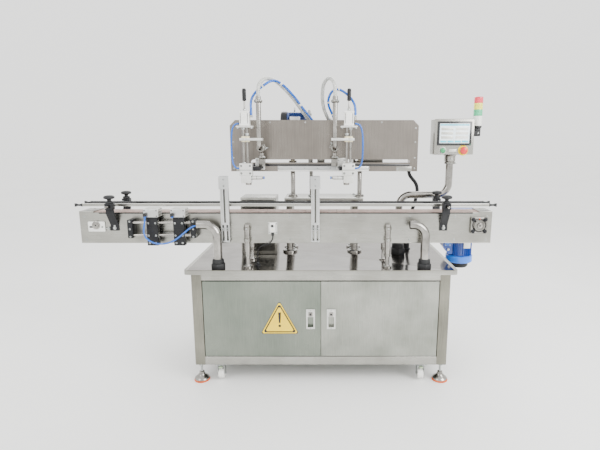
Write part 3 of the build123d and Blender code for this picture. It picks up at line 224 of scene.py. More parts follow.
# Brushed stainless sheet: hairlines show as long faint streaks, drawn a few times coarser than the belt grit.
SHEET_STEEL = Finish("brushed stainless sheet", "a3a49d", "7f837a", 1.0, 0.27, 0.14, (1.2, 90.0), Axis.Z,
                     0.04)
# The left door is the same brushed stainless as the other sheets, painted darker: painted shade, as the light
# falls weaker on the left.
PAINTED_SHADE_LEFT_DOOR_STEEL = Finish("brushed stainless door, shaded", "868b82", "656f64", 1.0, 0.27, 0.14, (1.2, 90.0),
                         Axis.Z, 0.04, 260.0)
PANEL_STEEL = Finish("brushed stainless panel", "8d8780", "655f59", 1.0, 0.26, 0.16, (1.2, 140.0), Axis.Z,
                     0.04, 220.0)
CROSS_STEEL = Finish("cross-brushed stainless", "aaa9a3", "898881", 1.0, 0.24, 0.13, (1.2, 110.0), Axis.X,
                     0.04)
# Cabinet tubes reflect less of the room and look browner.
TUBE_STEEL = Finish("brushed stainless tube", "8d8b80", "6b6a60", 1.0, 0.30, 0.14, (1.4, 80.0), Axis.Z, 0.05)
# Polished table sheet: nearly a mirror, with rubbed patches.
TABLE_STEEL = Finish("polished stainless table", "8f8b86", "6e6a66", 1.0, 0.10, 0.10, (2.0, 160.0), Axis.X,
                     0.015)
# Bright round stock, polished in the lathe: the grain runs round it.
BRIGHT_STEEL = Finish("polished stainless bar", "aca9a4", "6c6964", 1.0, 0.13, 0.10, (0.9, 6.0), Axis.X, 0.03,
                      60.0)
TURNED_STEEL = Finish("turned stainless fitting", "a09e98", "686560", 1.0, 0.20, 0.12, (0.8, 4.0), Axis.X,
                      0.06, 40.0)
ZINC = Finish("zinc-plated steel", "b9bcbb", "8d908c", 1.0, 0.28, 0.15, (2.5, 2.5), Axis.Z, 0.05, 30.0)
ALUMINIUM = Finish("anodised aluminium extrusion", "c9cac9", "aeb0b0", 1.0, 0.34, 0.10, (0.8, 60.0), Axis.Z,
                   0.05)
CAST_ALUMINIUM = Finish("bead-blasted aluminium", "dcdcd8", "c0c0bc", 1.0, 0.45, 0.12, (1.0, 1.0), Axis.Z,
                        0.10, 40.0)
WHITE_METAL = Finish("white powder coat", "eeeeea", "dcdcd6", 0.0, 0.38, 0.12, (1.5, 1.5), Axis.Z, 0.10, 50.0,
                     0.3)
PALE_BLOCK = Finish("machined pale aluminium", "e2e2de", "c9c9c4", 0.7, 0.36, 0.12, (1.0, 14.0), Axis.X, 0.06,
                    50.0)
BLACK_METAL = Finish("black anodised aluminium", "1a1b1e", "0d0e11", 0.4, 0.38, 0.18, (1.2, 1.2), Axis.Z,
                     0.08, 40.0)
BLACK_PLASTIC = Finish("moulded black nylon", "161719", "0b0c0e", 0.0, 0.46, 0.20, (1.6, 1.6), Axis.Z, 0.14,
                       35.0)
BLACK_GLOSS = Finish("glossy black plastic", "16171a", "0b0c0e", 0.0, 0.18, 0.12, (2.5, 2.5), Axis.Z, 0.03,
                     60.0, 0.4)
RUBBER = Finish("black rubber", "1d1d1e", "101011", 0.0, 0.66, 0.16, (1.5, 1.5), Axis.Z, 0.16, 30.0)
ORANGE_RUBBER = Finish("orange rubber", "d8642c", "b84c1c", 0.0, 0.60, 0.15, (1.5, 1.5), Axis.Z, 0.14, 25.0)
BLUE_PAINT = Finish("blue motor enamel", "143a78", "0a2552", 0.0, 0.30, 0.14, (2.4, 2.4), Axis.Z, 0.12, 45.0,
                    0.5)
GEAR_BLUE = Finish("bright blue gearmotor enamel", "0348ac", "023482", 0.0, 0.28, 0.12, (2.4, 2.4), Axis.Z,
                   0.10, 45.0, 0.5)
RIM_BLUE = Finish("sky blue enamel", "0c72e0", "085fc4", 0.0, 0.30, 0.12, (2.4, 2.4), Axis.Z, 0.10, 45.0, 0.5)
NYLON = Finish("natural nylon", "ece3c2", "d8cb9f", 0.0, 0.42, 0.12, (2.0, 2.0), Axis.Z, 0.05, 20.0)
WHITE_PLASTIC = Finish("moulded white plastic", "e9e9e4", "d4d4cd", 0.0, 0.36, 0.14, (1.8, 1.8), Axis.Z, 0.05,
                       30.0, 0.2)
GREEN_PLASTIC = Finish("moulded green plastic", "2f9c62", "22794a", 0.0, 0.34, 0.14, (1.6, 1.6), Axis.Z, 0.05,
                       20.0, 0.2)
BRAKE_GREEN = Finish("faded green plastic", "a6b79a", "8c9c80", 0.0, 0.44, 0.14, (1.6, 1.6), Axis.Z, 0.06,
                     20.0)
RED_PLASTIC = Finish("moulded red plastic", "d8242a", "b3161c", 0.0, 0.28, 0.12, (1.6, 1.6), Axis.Z, 0.04,
                     20.0, 0.4)
YELLOW_LABEL = Finish("yellow label film", "f2d000", "e6bc00", 0.0, 0.32, 0.10, (2.0, 2.0), Axis.Z, 0.02,
                      60.0, 0.3)
BLACK_PRINT = Finish("black screen print", "17171a", "101012", 0.0, 0.40, 0.10, (2.0, 2.0), Axis.Z, 0.02,
                     60.0)
PALE_PLATE = Finish("blank etched plate", "cfd0c8", "b8b9b2", 0.6, 0.40, 0.12, (0.9, 20.0), Axis.X, 0.04,
                    20.0)
# Acetal chain: dusty pink-brown, scuffed by bottles along its run.
CHAIN = Finish("scuffed acetal chain", "b49d93", "927c73", 0.0, 0.48, 0.20, (1.0, 26.0), Axis.X, 0.12, 70.0)
RAIL_PLASTIC = Finish("white guide-rail polymer", "eeeee9", "d9d9d2", 0.0, 0.36, 0.12, (1.2, 60.0), Axis.X,
                      0.05, 90.0)
SCREEN = Finish("lit touch screen", "e4eef2", "cfdfe6", 0.0, 0.16, 0.05, (30.0, 30.0), Axis.X, 0.0, 60.0, 0.4,
                0.0, 0.55)
SCREEN_BAR = Finish("lit cyan screen tiles", "3fc0d8", "2ba6c4", 0.0, 0.16, 0.05, (20.0, 20.0), Axis.X, 0.0,
                    30.0, 0.4, 0.0, 0.5)
# Clear PVC: milky, with product film inside, so the pattern is soft and long.
CLEAR_HOSE = Finish("clear PVC hose", "cfd0cc", "9b9d98", 0.0, 0.14, 0.12, (3.0, 12.0), Axis.Z, 0.04, 25.0,
                    0.3, 0.22, 0.0, 1.45)
CYAN_HOSE = Finish("blue polyurethane air tube", "0766cc", "034aa0", 0.0, 0.24, 0.10, (2.0, 8.0), Axis.Z,
                   0.03, 30.0, 0.4, 0.15, 0.0, 1.48)
RED_LENS = Finish("red lamp lens", "ee4a5c", "d2303f", 0.0, 0.22, 0.10, (2.0, 2.0), Axis.Z, 0.03, 20.0, 0.5,
                  0.2, 0.18)
YELLOW_LENS = Finish("yellow lamp lens", "f2ee62", "dcd840", 0.0, 0.22, 0.10, (2.0, 2.0), Axis.Z, 0.03, 20.0,
                     0.5, 0.2, 0.18)
GREEN_LENS = Finish("green lamp lens", "4cc58f", "32a872", 0.0, 0.22, 0.10, (2.0, 2.0), Axis.Z, 0.03, 20.0,
                    0.5, 0.2, 0.18)
FLOOR = Finish("pale studio floor", "f6f6f4", "f1f1ee", 0.0, 0.55, 0.05, (8.0, 8.0), Axis.X, 0.0, 900.0)


# ---- shapes --------------------------------------------------------------------------------------
class Shape:
    """One mesh in the making, in millimetres, with a list of finishes."""

    def __init__(self, *finishes: Finish) -> None:
        """Starts an empty mesh with these finishes as its material slots."""
        self.bm = bmesh.new()
        self.finishes = list(finishes)

    def _slot(self, finish: Finish | None) -> int:
        """Index of a finish, added if it is new."""
        if finish is None:
            return 0
        if finish not in self.finishes:
            self.finishes.append(finish)
        return self.finishes.index(finish)

    def _dress(self, verts: Iterable[bmesh.types.BMVert], finish: Finish | None, bevel: float,
               segments: int) -> None:
        """Gives new faces their finish and rounds their sharp edges."""
        verts = list(verts)
        for face in {f for v in verts for f in v.link_faces}:
            face.material_index = self._slot(finish)
        if bevel > 0:
            edges = {e for v in verts for e in v.link_edges
                     if len(e.link_faces) == 2 and e.calc_face_angle(0) > SHARP}
            bmesh.ops.bevel(self.bm, geom=list(edges), offset=bevel, segments=segments, profile=0.5,
                            affect="EDGES", material=-1, clamp_overlap=True)

    def block(self, low: Point, high: Point, finish: Finish | None = None, bevel: float = 1.0,
              segments: int = 2) -> Shape:
        """Adds a box between two corners, with rounded edges."""
        centre = (Vector(low) + Vector(high)) / 2
        size = Vector(high) - Vector(low)
        matrix = Matrix.Translation(centre) @ Matrix.Diagonal((*map(abs, size), 1))
        made = bmesh.ops.create_cube(self.bm, size=1.0, matrix=matrix)
        self._dress(made["verts"], finish, bevel, segments)
        return self

    def rod(self, start: Point, end: Point, radius: float, finish: Finish | None = None, bevel: float = 0.6,
            sides: int = 28, tip: float | None = None) -> Shape:
        """Adds a cylinder, cone or prism from start to end.

        Args:
            start: Centre of the first end.
            end: Centre of the other end.
            radius: Radius at the start.
            finish: Its finish.
            bevel: Rounding of the end edges.
            sides: Number of sides; 6 makes a hexagon bar.
            tip: Radius at the end, if it differs.

        Returns:
            The shape itself.
        """
        line = Vector(end) - Vector(start)
        turn = line.to_track_quat("Z", "Y").to_matrix().to_4x4()
        matrix = Matrix.Translation((Vector(start) + Vector(end)) / 2) @ turn
        made = bmesh.ops.create_cone(self.bm, cap_ends=True, cap_tris=False, segments=sides, radius1=radius,
                                     radius2=radius if tip is None else tip, depth=line.length, matrix=matrix)
        self._dress(made["verts"], finish, bevel, 2)
        return self

    def lathe(self, profile: Sequence[tuple[float, float]], at: Point, finish: Finish | None = None,
              axis: Point = (0, 0, 1), steps: int = 36) -> Shape:
        """Spins a profile of (radius, height) points about an axis through a point."""
        verts = [self.bm.verts.new((radius, 0, height)) for radius, height in profile]
        edges = [self.bm.edges.new(pair) for pair in zip(verts, verts[1:])]
        made = bmesh.ops.spin(self.bm, geom=verts + edges, cent=(0, 0, 0), axis=(0, 0, 1),
                              angle=2 * math.pi, steps=steps, use_merge=True)
        fresh = {v for v in verts if v.is_valid}
        fresh |= {g for g in made["geom_last"] if isinstance(g, bmesh.types.BMVert) and g.is_valid}
        reach = self._island(fresh)
        bmesh.ops.remove_doubles(self.bm, verts=list(reach), dist=0.001)
        reach = self._island({v for v in reach if v.is_valid})
        turn = Vector(axis).to_track_quat("Z", "Y").to_matrix().to_4x4()
        bmesh.ops.transform(self.bm, matrix=Matrix.Translation(Vector(at)) @ turn, verts=list(reach))
        for face in {f for v in reach for f in v.link_faces}:
            face.material_index = self._slot(finish)
        return self

    @staticmethod
    def _island(start: set[bmesh.types.BMVert]) -> set[bmesh.types.BMVert]:
        """Every vertex that the start set is joined to."""
        seen, queue = set(start), list(start)
        while queue:
            for edge in queue.pop().link_edges:
                for vert in edge.verts:
                    if vert not in seen:
                        seen.add(vert)
                        queue.append(vert)
        return seen

    def ring(self, centre: Point, axis: Point, radius: float, wire: float, finish: Finish | None = None,
             sides: int = 28) -> Shape:
        """Adds a torus: a wire of that radius bent into a circle."""
        corner = [(radius + wire * math.cos(t), wire * math.sin(t)) for t in
                  (2 * math.pi * k / 8 for k in range(9))]
        return self.lathe(corner, centre, finish, axis, sides)

    def prism(self, outline: Sequence[Point], along: Point, finish: Finish | None = None,
              bevel: float = 0.5) -> Shape:
        """Extrudes a flat outline of corner points along a vector."""
        verts = [self.bm.verts.new(p) for p in outline]
        face = self.bm.faces.new(verts)
        made = bmesh.ops.extrude_face_region(self.bm, geom=[face])
        fresh = [g for g in made["geom"] if isinstance(g, bmesh.types.BMVert)]
        bmesh.ops.translate(self.bm, verts=fresh, vec=Vector(along))
        if face.is_valid and face not in made["geom"]:
            bmesh.ops.reverse_faces(self.bm, faces=[face])
        self._dress(fresh + verts, finish, bevel, 2)
        return self

    def pipe(self, points: Sequence[Point], radius: float, bend: float, finish: Finish | None = None,
             sides: int = 32) -> Shape:
        """Adds a solid round bar along straight runs with a bend of one radius at each corner."""
        line = list(rounded(points, bend))
        return self.tube(line, lambda _: radius, finish, sides)

    def tube(self, line: Sequence[Vector], radius: Callable[[int], float], finish: Finish | None = None,
             sides: int = 14) -> Shape:
        """Skins circles along a line of points; radius gives each circle's radius by its number."""
        frame = (line[1] - line[0]).to_track_quat("Z", "Y")
        last, direction = None, (line[1] - line[0]).normalized()
        for number, point in enumerate(line):
            ahead = line[min(number + 1, len(line) - 1)] - line[max(number - 1, 0)]
            frame = direction.rotation_difference(ahead.normalized()) @ frame
            direction = ahead.normalized()
            matrix = Matrix.Translation(point) @ frame.to_matrix().to_4x4()
            made = bmesh.ops.create_circle(self.bm, cap_ends=number in (0, len(line) - 1), segments=sides,
                                           radius=radius(number), matrix=matrix)["verts"]
            loop = list({e for v in made for e in v.link_edges if all(w in made for w in e.verts)})
            if last:
                fresh = bmesh.ops.bridge_loops(self.bm, edges=last + loop)["faces"]
                for face in fresh:
                    face.material_index = self._slot(finish)
            for face in {f for v in made for f in v.link_faces}:
                face.material_index = self._slot(finish)
            last = loop
        return self

    def piece(self, name: str, body: str, replaces: Sequence[str] = (),
              slot: str | None = None) -> bpy.types.Object:
        """Turns the mesh into a finished piece of the machine.

        Args:
            name: The piece's name.
            body: The CAD body that it rides on.
            replaces: CAD nodes that it stands for.
            slot: The record's material slot; not used.

        Returns:
            The new object.
        """
        obj = self.mesh_object(name)
        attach(obj, body)
        if replaces:
            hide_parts(*replaces)
        LOG.info("%s: %d faces on %s", name, len(obj.data.polygons), body)
        return obj

    def mesh_object(self, name: str) -> bpy.types.Object:
        """Writes the mesh in metres, with outward faces and creased hard edges."""
        bmesh.ops.scale(self.bm, vec=(MM, MM, MM), verts=self.bm.verts)
        bmesh.ops.recalc_face_normals(self.bm, faces=self.bm.faces)
        for edge in self.bm.edges:
            edge.smooth = not (len(edge.link_faces) == 2 and edge.calc_face_angle(0) > SHARP)
        mesh = bpy.data.meshes.new(name)
        self.bm.to_mesh(mesh)
        self.bm.free()
        mesh.polygons.foreach_set("use_smooth", [True] * len(mesh.polygons))
        for finish in self.finishes:
            mesh.materials.append(finish.material())
        obj = bpy.data.objects.new(name, mesh)
        bpy.context.scene.collection.objects.link(obj)
        return obj


def rounded(points: Sequence[Point], bend: float, steps: int = 10) -> Iterable[Vector]:
    """Points along straight runs whose corners are arcs of one radius."""
    corners = [Vector(p) for p in points]
    yield corners[0]
    for before, corner, after in zip(corners, corners[1:], corners[2:]):
        a, b = (before - corner).normalized(), (after - corner).normalized()
        half = a.angle(b) / 2
        centre = corner + (a + b).normalized() * (bend / math.sin(half))
        first = corner + a * (bend / math.tan(half)) - centre
        last = corner + b * (bend / math.tan(half)) - centre
        for step in range(steps + 1):
            yield centre + first.normalized().slerp(last.normalized(), step / steps) * bend
    yield corners[-1]


def screw_head(shape: Shape, at: Point, axis: Point, radius: float = 4.5, finish: Finish = ZINC) -> None:
    """Adds a socket screw: washer, domed head and a flat black hexagon as painted shade in the socket."""
    origin, way = Vector(at), Vector(axis).normalized()
    shape.rod(origin, origin + way * 0.9, radius * 1.35, finish, 0.25, 20)
    shape.rod(origin + way * 0.9, origin + way * (0.9 + radius * 0.7), radius, finish, radius * 0.22, 18)
    top = origin + way * (0.95 + radius * 0.7)
    # The socket is a flat black hexagon: painted shade of the recess.
    shape.rod(top - way * 0.4, top + way * 0.05, radius * 0.5, BLACK_PLASTIC, 0, 6)


def hex_bolt(shape: Shape, at: Point, axis: Point, radius: float = 6.0, finish: Finish = ZINC) -> None:
    """Adds a hexagon bolt head on a washer."""
    origin, way = Vector(at), Vector(axis).normalized()
    shape.rod(origin, origin + way * 1.2, radius * 1.35, finish, 0.3, 24)
    shape.rod(origin + way * 1.2, origin + way * (1.2 + radius * 0.65), radius, finish, 0.6, 6)


def box_mm(node: str) -> tuple[Vector, Vector]:
    """Lowest and highest corner of a CAD node in millimetres."""
    low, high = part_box(node)
    return low / MM, high / MM


# ---- cabinet -------------------------------------------------------------------------------------
@dataclass
class Cabinet:
    """Tube frame, sheets, doors with pulls, table, feet and casters."""

    tube: float = 50.0
    rail: float = 45.0
    support_y: float = 300.0
    foot_inset: float = 20.0
    caster_inset: float = 121.0
    wheel_radius: float = 25.0
    wheel_z: float = 37.0
    pull_z: float = 338.0
    pull_offset: float = 50.0
    split_x: float = 170.0

    def build(self, nodes: dict[str, bpy.types.Object]) -> None:
        """Builds every piece of the cabinet."""
        self.low, self.high = box_mm("base_frame")
        self.frame()
        self.table()
        self.feet()
        self.casters()
        for side in Side:
            self.pull(side)
        self.warning_sign()
        self.sheet_fixings()
        for node in ("cabinet_panels", "door_right"):
            dress(nodes[node], SHEET_STEEL)
        dress(nodes["door_left"], PAINTED_SHADE_LEFT_DOOR_STEEL)

    def frame(self) -> None:
        """Welded tubes: posts, rails and the middle tube, each with rounded corners."""
        low, high, tube, rail = self.low, self.high, self.tube, self.rail
        shape = Shape(TUBE_STEEL)
        for x in (low.x, high.x - tube):
            for y in (low.y, high.y - tube):
                shape.block((x, y, low.z), (x + tube, y + tube, high.z), None, 3.5, 3)
                shape.block((x + 4, y + 4, low.z - 1.2), (x + tube - 4, y + tube - 4, low.z), BLACK_PLASTIC,
                            0.5)
        for z in (low.z, high.z - rail):
            for y in (low.y, high.y - tube):
                shape.block((low.x + tube - 1, y + 0.6, z + 0.6),
                            (high.x - tube + 1, y + tube - 0.6, z + rail - 0.6),
                            CROSS_STEEL, 3.0, 3)
            for x in (low.x, high.x - tube):
                shape.block((x + 0.6, low.y + tube - 1, z + 0.6),
                            (x + tube - 0.6, high.y - tube + 1, z + rail - 0.6),
                            None, 3.0, 3)
        middle = self.split_x
        shape.block((middle - tube / 2, -312, low.z + rail - 1),
                    (middle + tube / 2, low.y + tube, high.z - rail + 1),
                    None, 2.5)
        shape.block((middle - tube / 2, low.y + tube - 1, low.z),
                    (middle + tube / 2, high.y - tube + 1, low.z + rail),
                    None, 2.5)
        self.welds(shape)
        for x in (low.x + tube + 12, high.x - tube - 12):
            for z in (low.z + rail, high.z - rail):
                up = 1 if z < 300 else -1
                shape.rod((x, -329, z - up * 2), (x, -329, z + up * 15), 2.95, BRIGHT_STEEL, 0.4, 16)
        shape.piece("welded_tube_frame", "machine", ["base_frame"], "brushed_stainless")

    def welds(self, shape: Shape) -> None:
        """Low ground-down weld beads where the rails meet the posts."""
        low, high, tube, rail = self.low, self.high, self.tube, self.rail
        for x in (low.x + tube, high.x - tube):
            for z in (low.z + rail * 0.5, high.z - rail * 0.5):
                shape.block((x - 1.2, low.y + 0.2, z - rail / 2 + 4),
                            (x + 1.2, low.y + 1.5, z + rail / 2 - 4),
                            CROSS_STEEL, 0.5)

    def table(self) -> None:
        """Folded sheet: rounded corners, a raised rolled rim and a hanging lip."""
        low, high = box_mm("table_top")
        top, rim = 588.0, 10.0
        shape = Shape(TABLE_STEEL)
        bm = shape.bm
        centre = Vector(((low.x + high.x) / 2, (low.y + high.y) / 2, (low.z + top) / 2))
        size = (high.x - low.x, high.y - low.y, top - low.z)
        bmesh.ops.create_cube(bm, size=1.0, matrix=Matrix.Translation(centre) @ Matrix.Diagonal((*size, 1)))
        upright = [e for e in bm.edges if abs((e.verts[0].co - e.verts[1].co).normalized().z) > 0.9]
        bmesh.ops.bevel(bm, geom=upright, offset=20, segments=6, profile=0.5, affect="EDGES", material=-1)
        lid = max(bm.faces, key=lambda f: f.calc_center_median().z)
        base = min(bm.faces, key=lambda f: f.calc_center_median().z)
        rim_edges = list(lid.edges)
        bmesh.ops.inset_region(bm, faces=[lid], thickness=rim, depth=0)
        bmesh.ops.translate(bm, verts=list(lid.verts), vec=(0, 0, 578 - top))
        floor_edges = list(lid.edges)
        bmesh.ops.inset_region(bm, faces=[base], thickness=2.5, depth=0)
        bmesh.ops.translate(bm, verts=list(base.verts), vec=(0, 0, 9.5))
        sharp = [e for e in rim_edges + floor_edges if e.is_valid]
        bmesh.ops.bevel(bm, geom=sharp, offset=3.0, segments=3, profile=0.5, affect="EDGES", material=-1)
        for face in bm.faces:
            centre = face.calc_center_median()
            is_top = abs(face.normal.z) > 0.9 and abs(centre.z - 578) < 1
            face.material_index = 0 if is_top else shape._slot(CROSS_STEEL)
        # Darker strip along the top of the front lip: a painted shadow line under the rolled rim.
        shape.block((low.x + 14, low.y - 0.2, 583.5), (high.x - 14, low.y + 1, 586.5), TUBE_STEEL, 0.4)
        for x, y, radius, top_z in ((658, 119, 17, 616), (-142, -233, 7, 596)):
            shape.lathe([(0, 578), (radius + 6, 578), (radius + 6, 583), (radius, 585), (radius, top_z - 4),
                         (radius - 3, top_z), (0, top_z)], (x, y, 0), BLACK_PLASTIC)
        shape.piece("folded_table_top", "machine", ["table_top"], "mirror_table")

    def feet(self) -> None:
        """Levelling feet: rubber disc, spun bell, threaded spindle and lock nut."""
        shape = Shape(BRIGHT_STEEL)
        bell = [(33.5, 8), (36.5, 9.5), (37, 12), (35.5, 15), (29, 21), (21, 27), (15, 34), (13, 40),
                (12.5, 46),
                (8, 48), (0, 48)]
        for x in (self.low.x + self.foot_inset, self.high.x - self.foot_inset):
            for y in (-self.support_y, self.support_y):
                shape.lathe([(0, 0), (36, 0), (38.5, 1.5), (39, 4), (38.5, 6.5), (36, 8.3), (0, 8.3)],
                            (x, y, 0),
                            ORANGE_RUBBER)
                shape.lathe([(0, 8.2), *bell], (x, y, 0))
                thread = [(0, 46)] + [(5.9 - 0.7 * (k % 2), 46 + k * 1.6) for k in range(32)] + [(0, 97)]
                shape.lathe(thread, (x, y, 0), ZINC, steps=20)
                shape.rod((x, y, 79), (x, y, 90), 12, ZINC, 1.0, 6)
                shape.rod((x, y, 91), (x, y, 93), 15, ZINC, 0.5, 24)
        shape.piece("levelling_foot_set", "machine", ["feet_and_forks"], "foot_chrome")

    def casters(self) -> None:
        """Forks with top plate, ball race, brake pedal and axle, and white wheels on each axle line."""
        forks = Shape(ZINC)
        for row, y in (("front", -self.support_y), ("rear", self.support_y)):
            wheels = Shape(WHITE_PLASTIC)
            for x in (self.low.x + self.caster_inset, self.high.x - self.caster_inset):
                self.fork(forks, x, y)
                r, z = self.wheel_radius, self.wheel_z
                tread = [(4.05, -13.9), (9, -13.9), (10, -12), (r - 7, -11), (r - 6, -13.6), (r - 2, -13.9),
                         (r, -11),
                         (r, 11), (r - 2, 13.9), (r - 6, 13.6), (r - 7, 11), (10, 12), (9, 13.9),
                         (4.05, 13.9),
                         (4.05, -13.9)]
                wheels.lathe(tread, (x, y, z), None, (1, 0, 0), 40)
            wheels.piece(f"caster_wheel_pair_{row}", f"casters_{row}", [f"caster_wheels_{row}"],
                         "caster_white")
        forks.piece("caster_fork_set", "machine", [], "foot_chrome")

    def fork(self, shape: Shape, x: float, y: float) -> None:
        """One caster's fixed parts."""
        shape.block((x - 32, y - 27, 93), (x + 32, y + 27, 97), None, 1.5)
        for dx in (-24, 24):
            for dy in (-19, 19):
                shape.rod((x + dx, y + dy, 89.5), (x + dx, y + dy, 93), 4.5, None, 0.6, 6)
        shape.lathe([(0, 84), (17, 84), (20, 86), (20, 90), (17, 93), (0, 93)], (x, y, 0))
        shape.block((x - 18, y - 16, 80), (x + 18, y + 16, 84), None, 1.2)
        for side in (-1, 1):
            a, b = sorted((x + side * 15.5, x + side * 18.5))
            outline = [(a, y - 16, 84), (a, y - 14, 44), (a, y - 6, 29), (a, y + 6, 29), (a, y + 14, 44),
                       (a, y + 16, 84)]
            shape.prism(outline, (b - a, 0, 0), None, 0.6)
            shape.rod((x + side * 18.4, y, 37), (x + side * 20.5, y, 37), 7, None, 0.5, 6)
        shape.rod((x - 20, y, 37), (x + 20, y, 37), 3.95, None, 0.3, 16)
        shape.block((x - 9, y - 33.5, 77), (x + 9, y - 12, 81.5), BRAKE_GREEN, 1.5)
        shape.block((x - 7, y - 33, 81), (x + 7, y - 26, 83.5), BRAKE_GREEN, 0.8)

    def pull(self, side: Side) -> None:
        """A recessed door pull: rolled flange, cup, paddle and two screws."""
        x, z, front = self.split_x + side.value * self.pull_offset, self.pull_z, -335.0
        shape = Shape(CAST_ALUMINIUM)
        wide, high = 21.5, 51.0
        for a, b, c, d in ((-wide, -wide + 8, -high, high), (wide - 8, wide, -high, high)):
            shape.block((x + a, front - 4.6, z + c), (x + b, front + 0.5, z + d), None, 1.6, 3)
        for c, d in ((-high, -high + 10), (high - 40, high)):
            shape.block((x - wide + 7, front - 4.6, z + c), (x + wide - 7, front + 0.5, z + d), None, 1.6, 3)
        shape.block((x - 10, front - 6.5, z + high - 37), (x + 10, front - 4.2, z + high - 15), BRIGHT_STEEL,
                    1.0)
        shape.rod((x, front - 8.5, z + high - 26), (x, front - 6, z + high - 26), 5, BLACK_PLASTIC, 0.6, 20)
        for dz in (-high + 5, high - 7):
            shape.rod((x, front - 5.6, z + dz), (x, front - 4.4, z + dz), 2.4, ZINC, 0.4, 14)
        shape.piece(f"recessed_pull_{side.word}", f"door_{side.word}", [], "white_anodised")

    def warning_sign(self) -> None:
        """A plain caution triangle with a bar and a dot, and no words."""
        x, low, high, front = -30.0, 262.0, 427.0, -335.0
        shape = Shape(YELLOW_LABEL)

        def triangle(inset: float, y: float, finish: Finish, thick: float) -> None:
            """One layer of the sign, with cut-off corners."""
            half, base, top = 93.0 - inset * 1.73, low + inset, high - inset * 2
            cut = 9.0
            outline = [(x - half + cut, y, base), (x + half - cut, y, base),
                       (x + half - cut * 0.45, y, base + cut * 0.8),
                       (x + cut * 0.5, y, top - cut * 0.5), (x - cut * 0.5, y, top - cut * 0.5),
                       (x - half + cut * 0.45, y, base + cut * 0.8)]
            shape.prism(outline, (0, thick, 0), finish, 0)

        triangle(0, front - 0.55, BLACK_PRINT, 0.5)
        triangle(2.2, front - 0.8, YELLOW_LABEL, 0.3)
        triangle(7, front - 1.05, BLACK_PRINT, 0.3)
        triangle(13, front - 1.3, YELLOW_LABEL, 0.3)
        outline = [(x - 4, front - 1.55, 318), (x + 4, front - 1.55, 318), (x + 7, front - 1.55, 372),
                   (x - 7, front - 1.55, 372)]
        shape.prism(outline, (0, 0.3, 0), BLACK_PRINT, 0)
        shape.rod((x, front - 1.55, 303), (x, front - 1.25, 303), 6.5, BLACK_PRINT, 0, 24)
        shape.piece("blank_caution_sign", "door_left", [], "brushed_stainless")

    def sheet_fixings(self) -> None:
        """Screws of the back sheet and louvres in both end sheets."""
        shape = Shape(ZINC)
        for x in (-380, -150, 60, 280, 500, 720):
            for z in (160, 512):
                screw_head(shape, (x, 330, z), (0, 1, 0), 4)
        for face, way in ((self.low.x + 5, -1), (self.high.x - 5, 1)):
            for z in range(400, 500, 16):
                a, b = sorted((face, face + way * 4))
                shape.block((a, -60, z), (b, 60, z + 7), SHEET_STEEL, 1.6)
        shape.piece("cabinet_fixings", "machine", [], "brushed_stainless")


def dress(obj: bpy.types.Object, *finishes: Finish) -> None:
    """Gives a CAD node its finish without touching its mesh."""
    obj.data.materials.clear()
    for finish in finishes:
        obj.data.materials.append(finish.material())


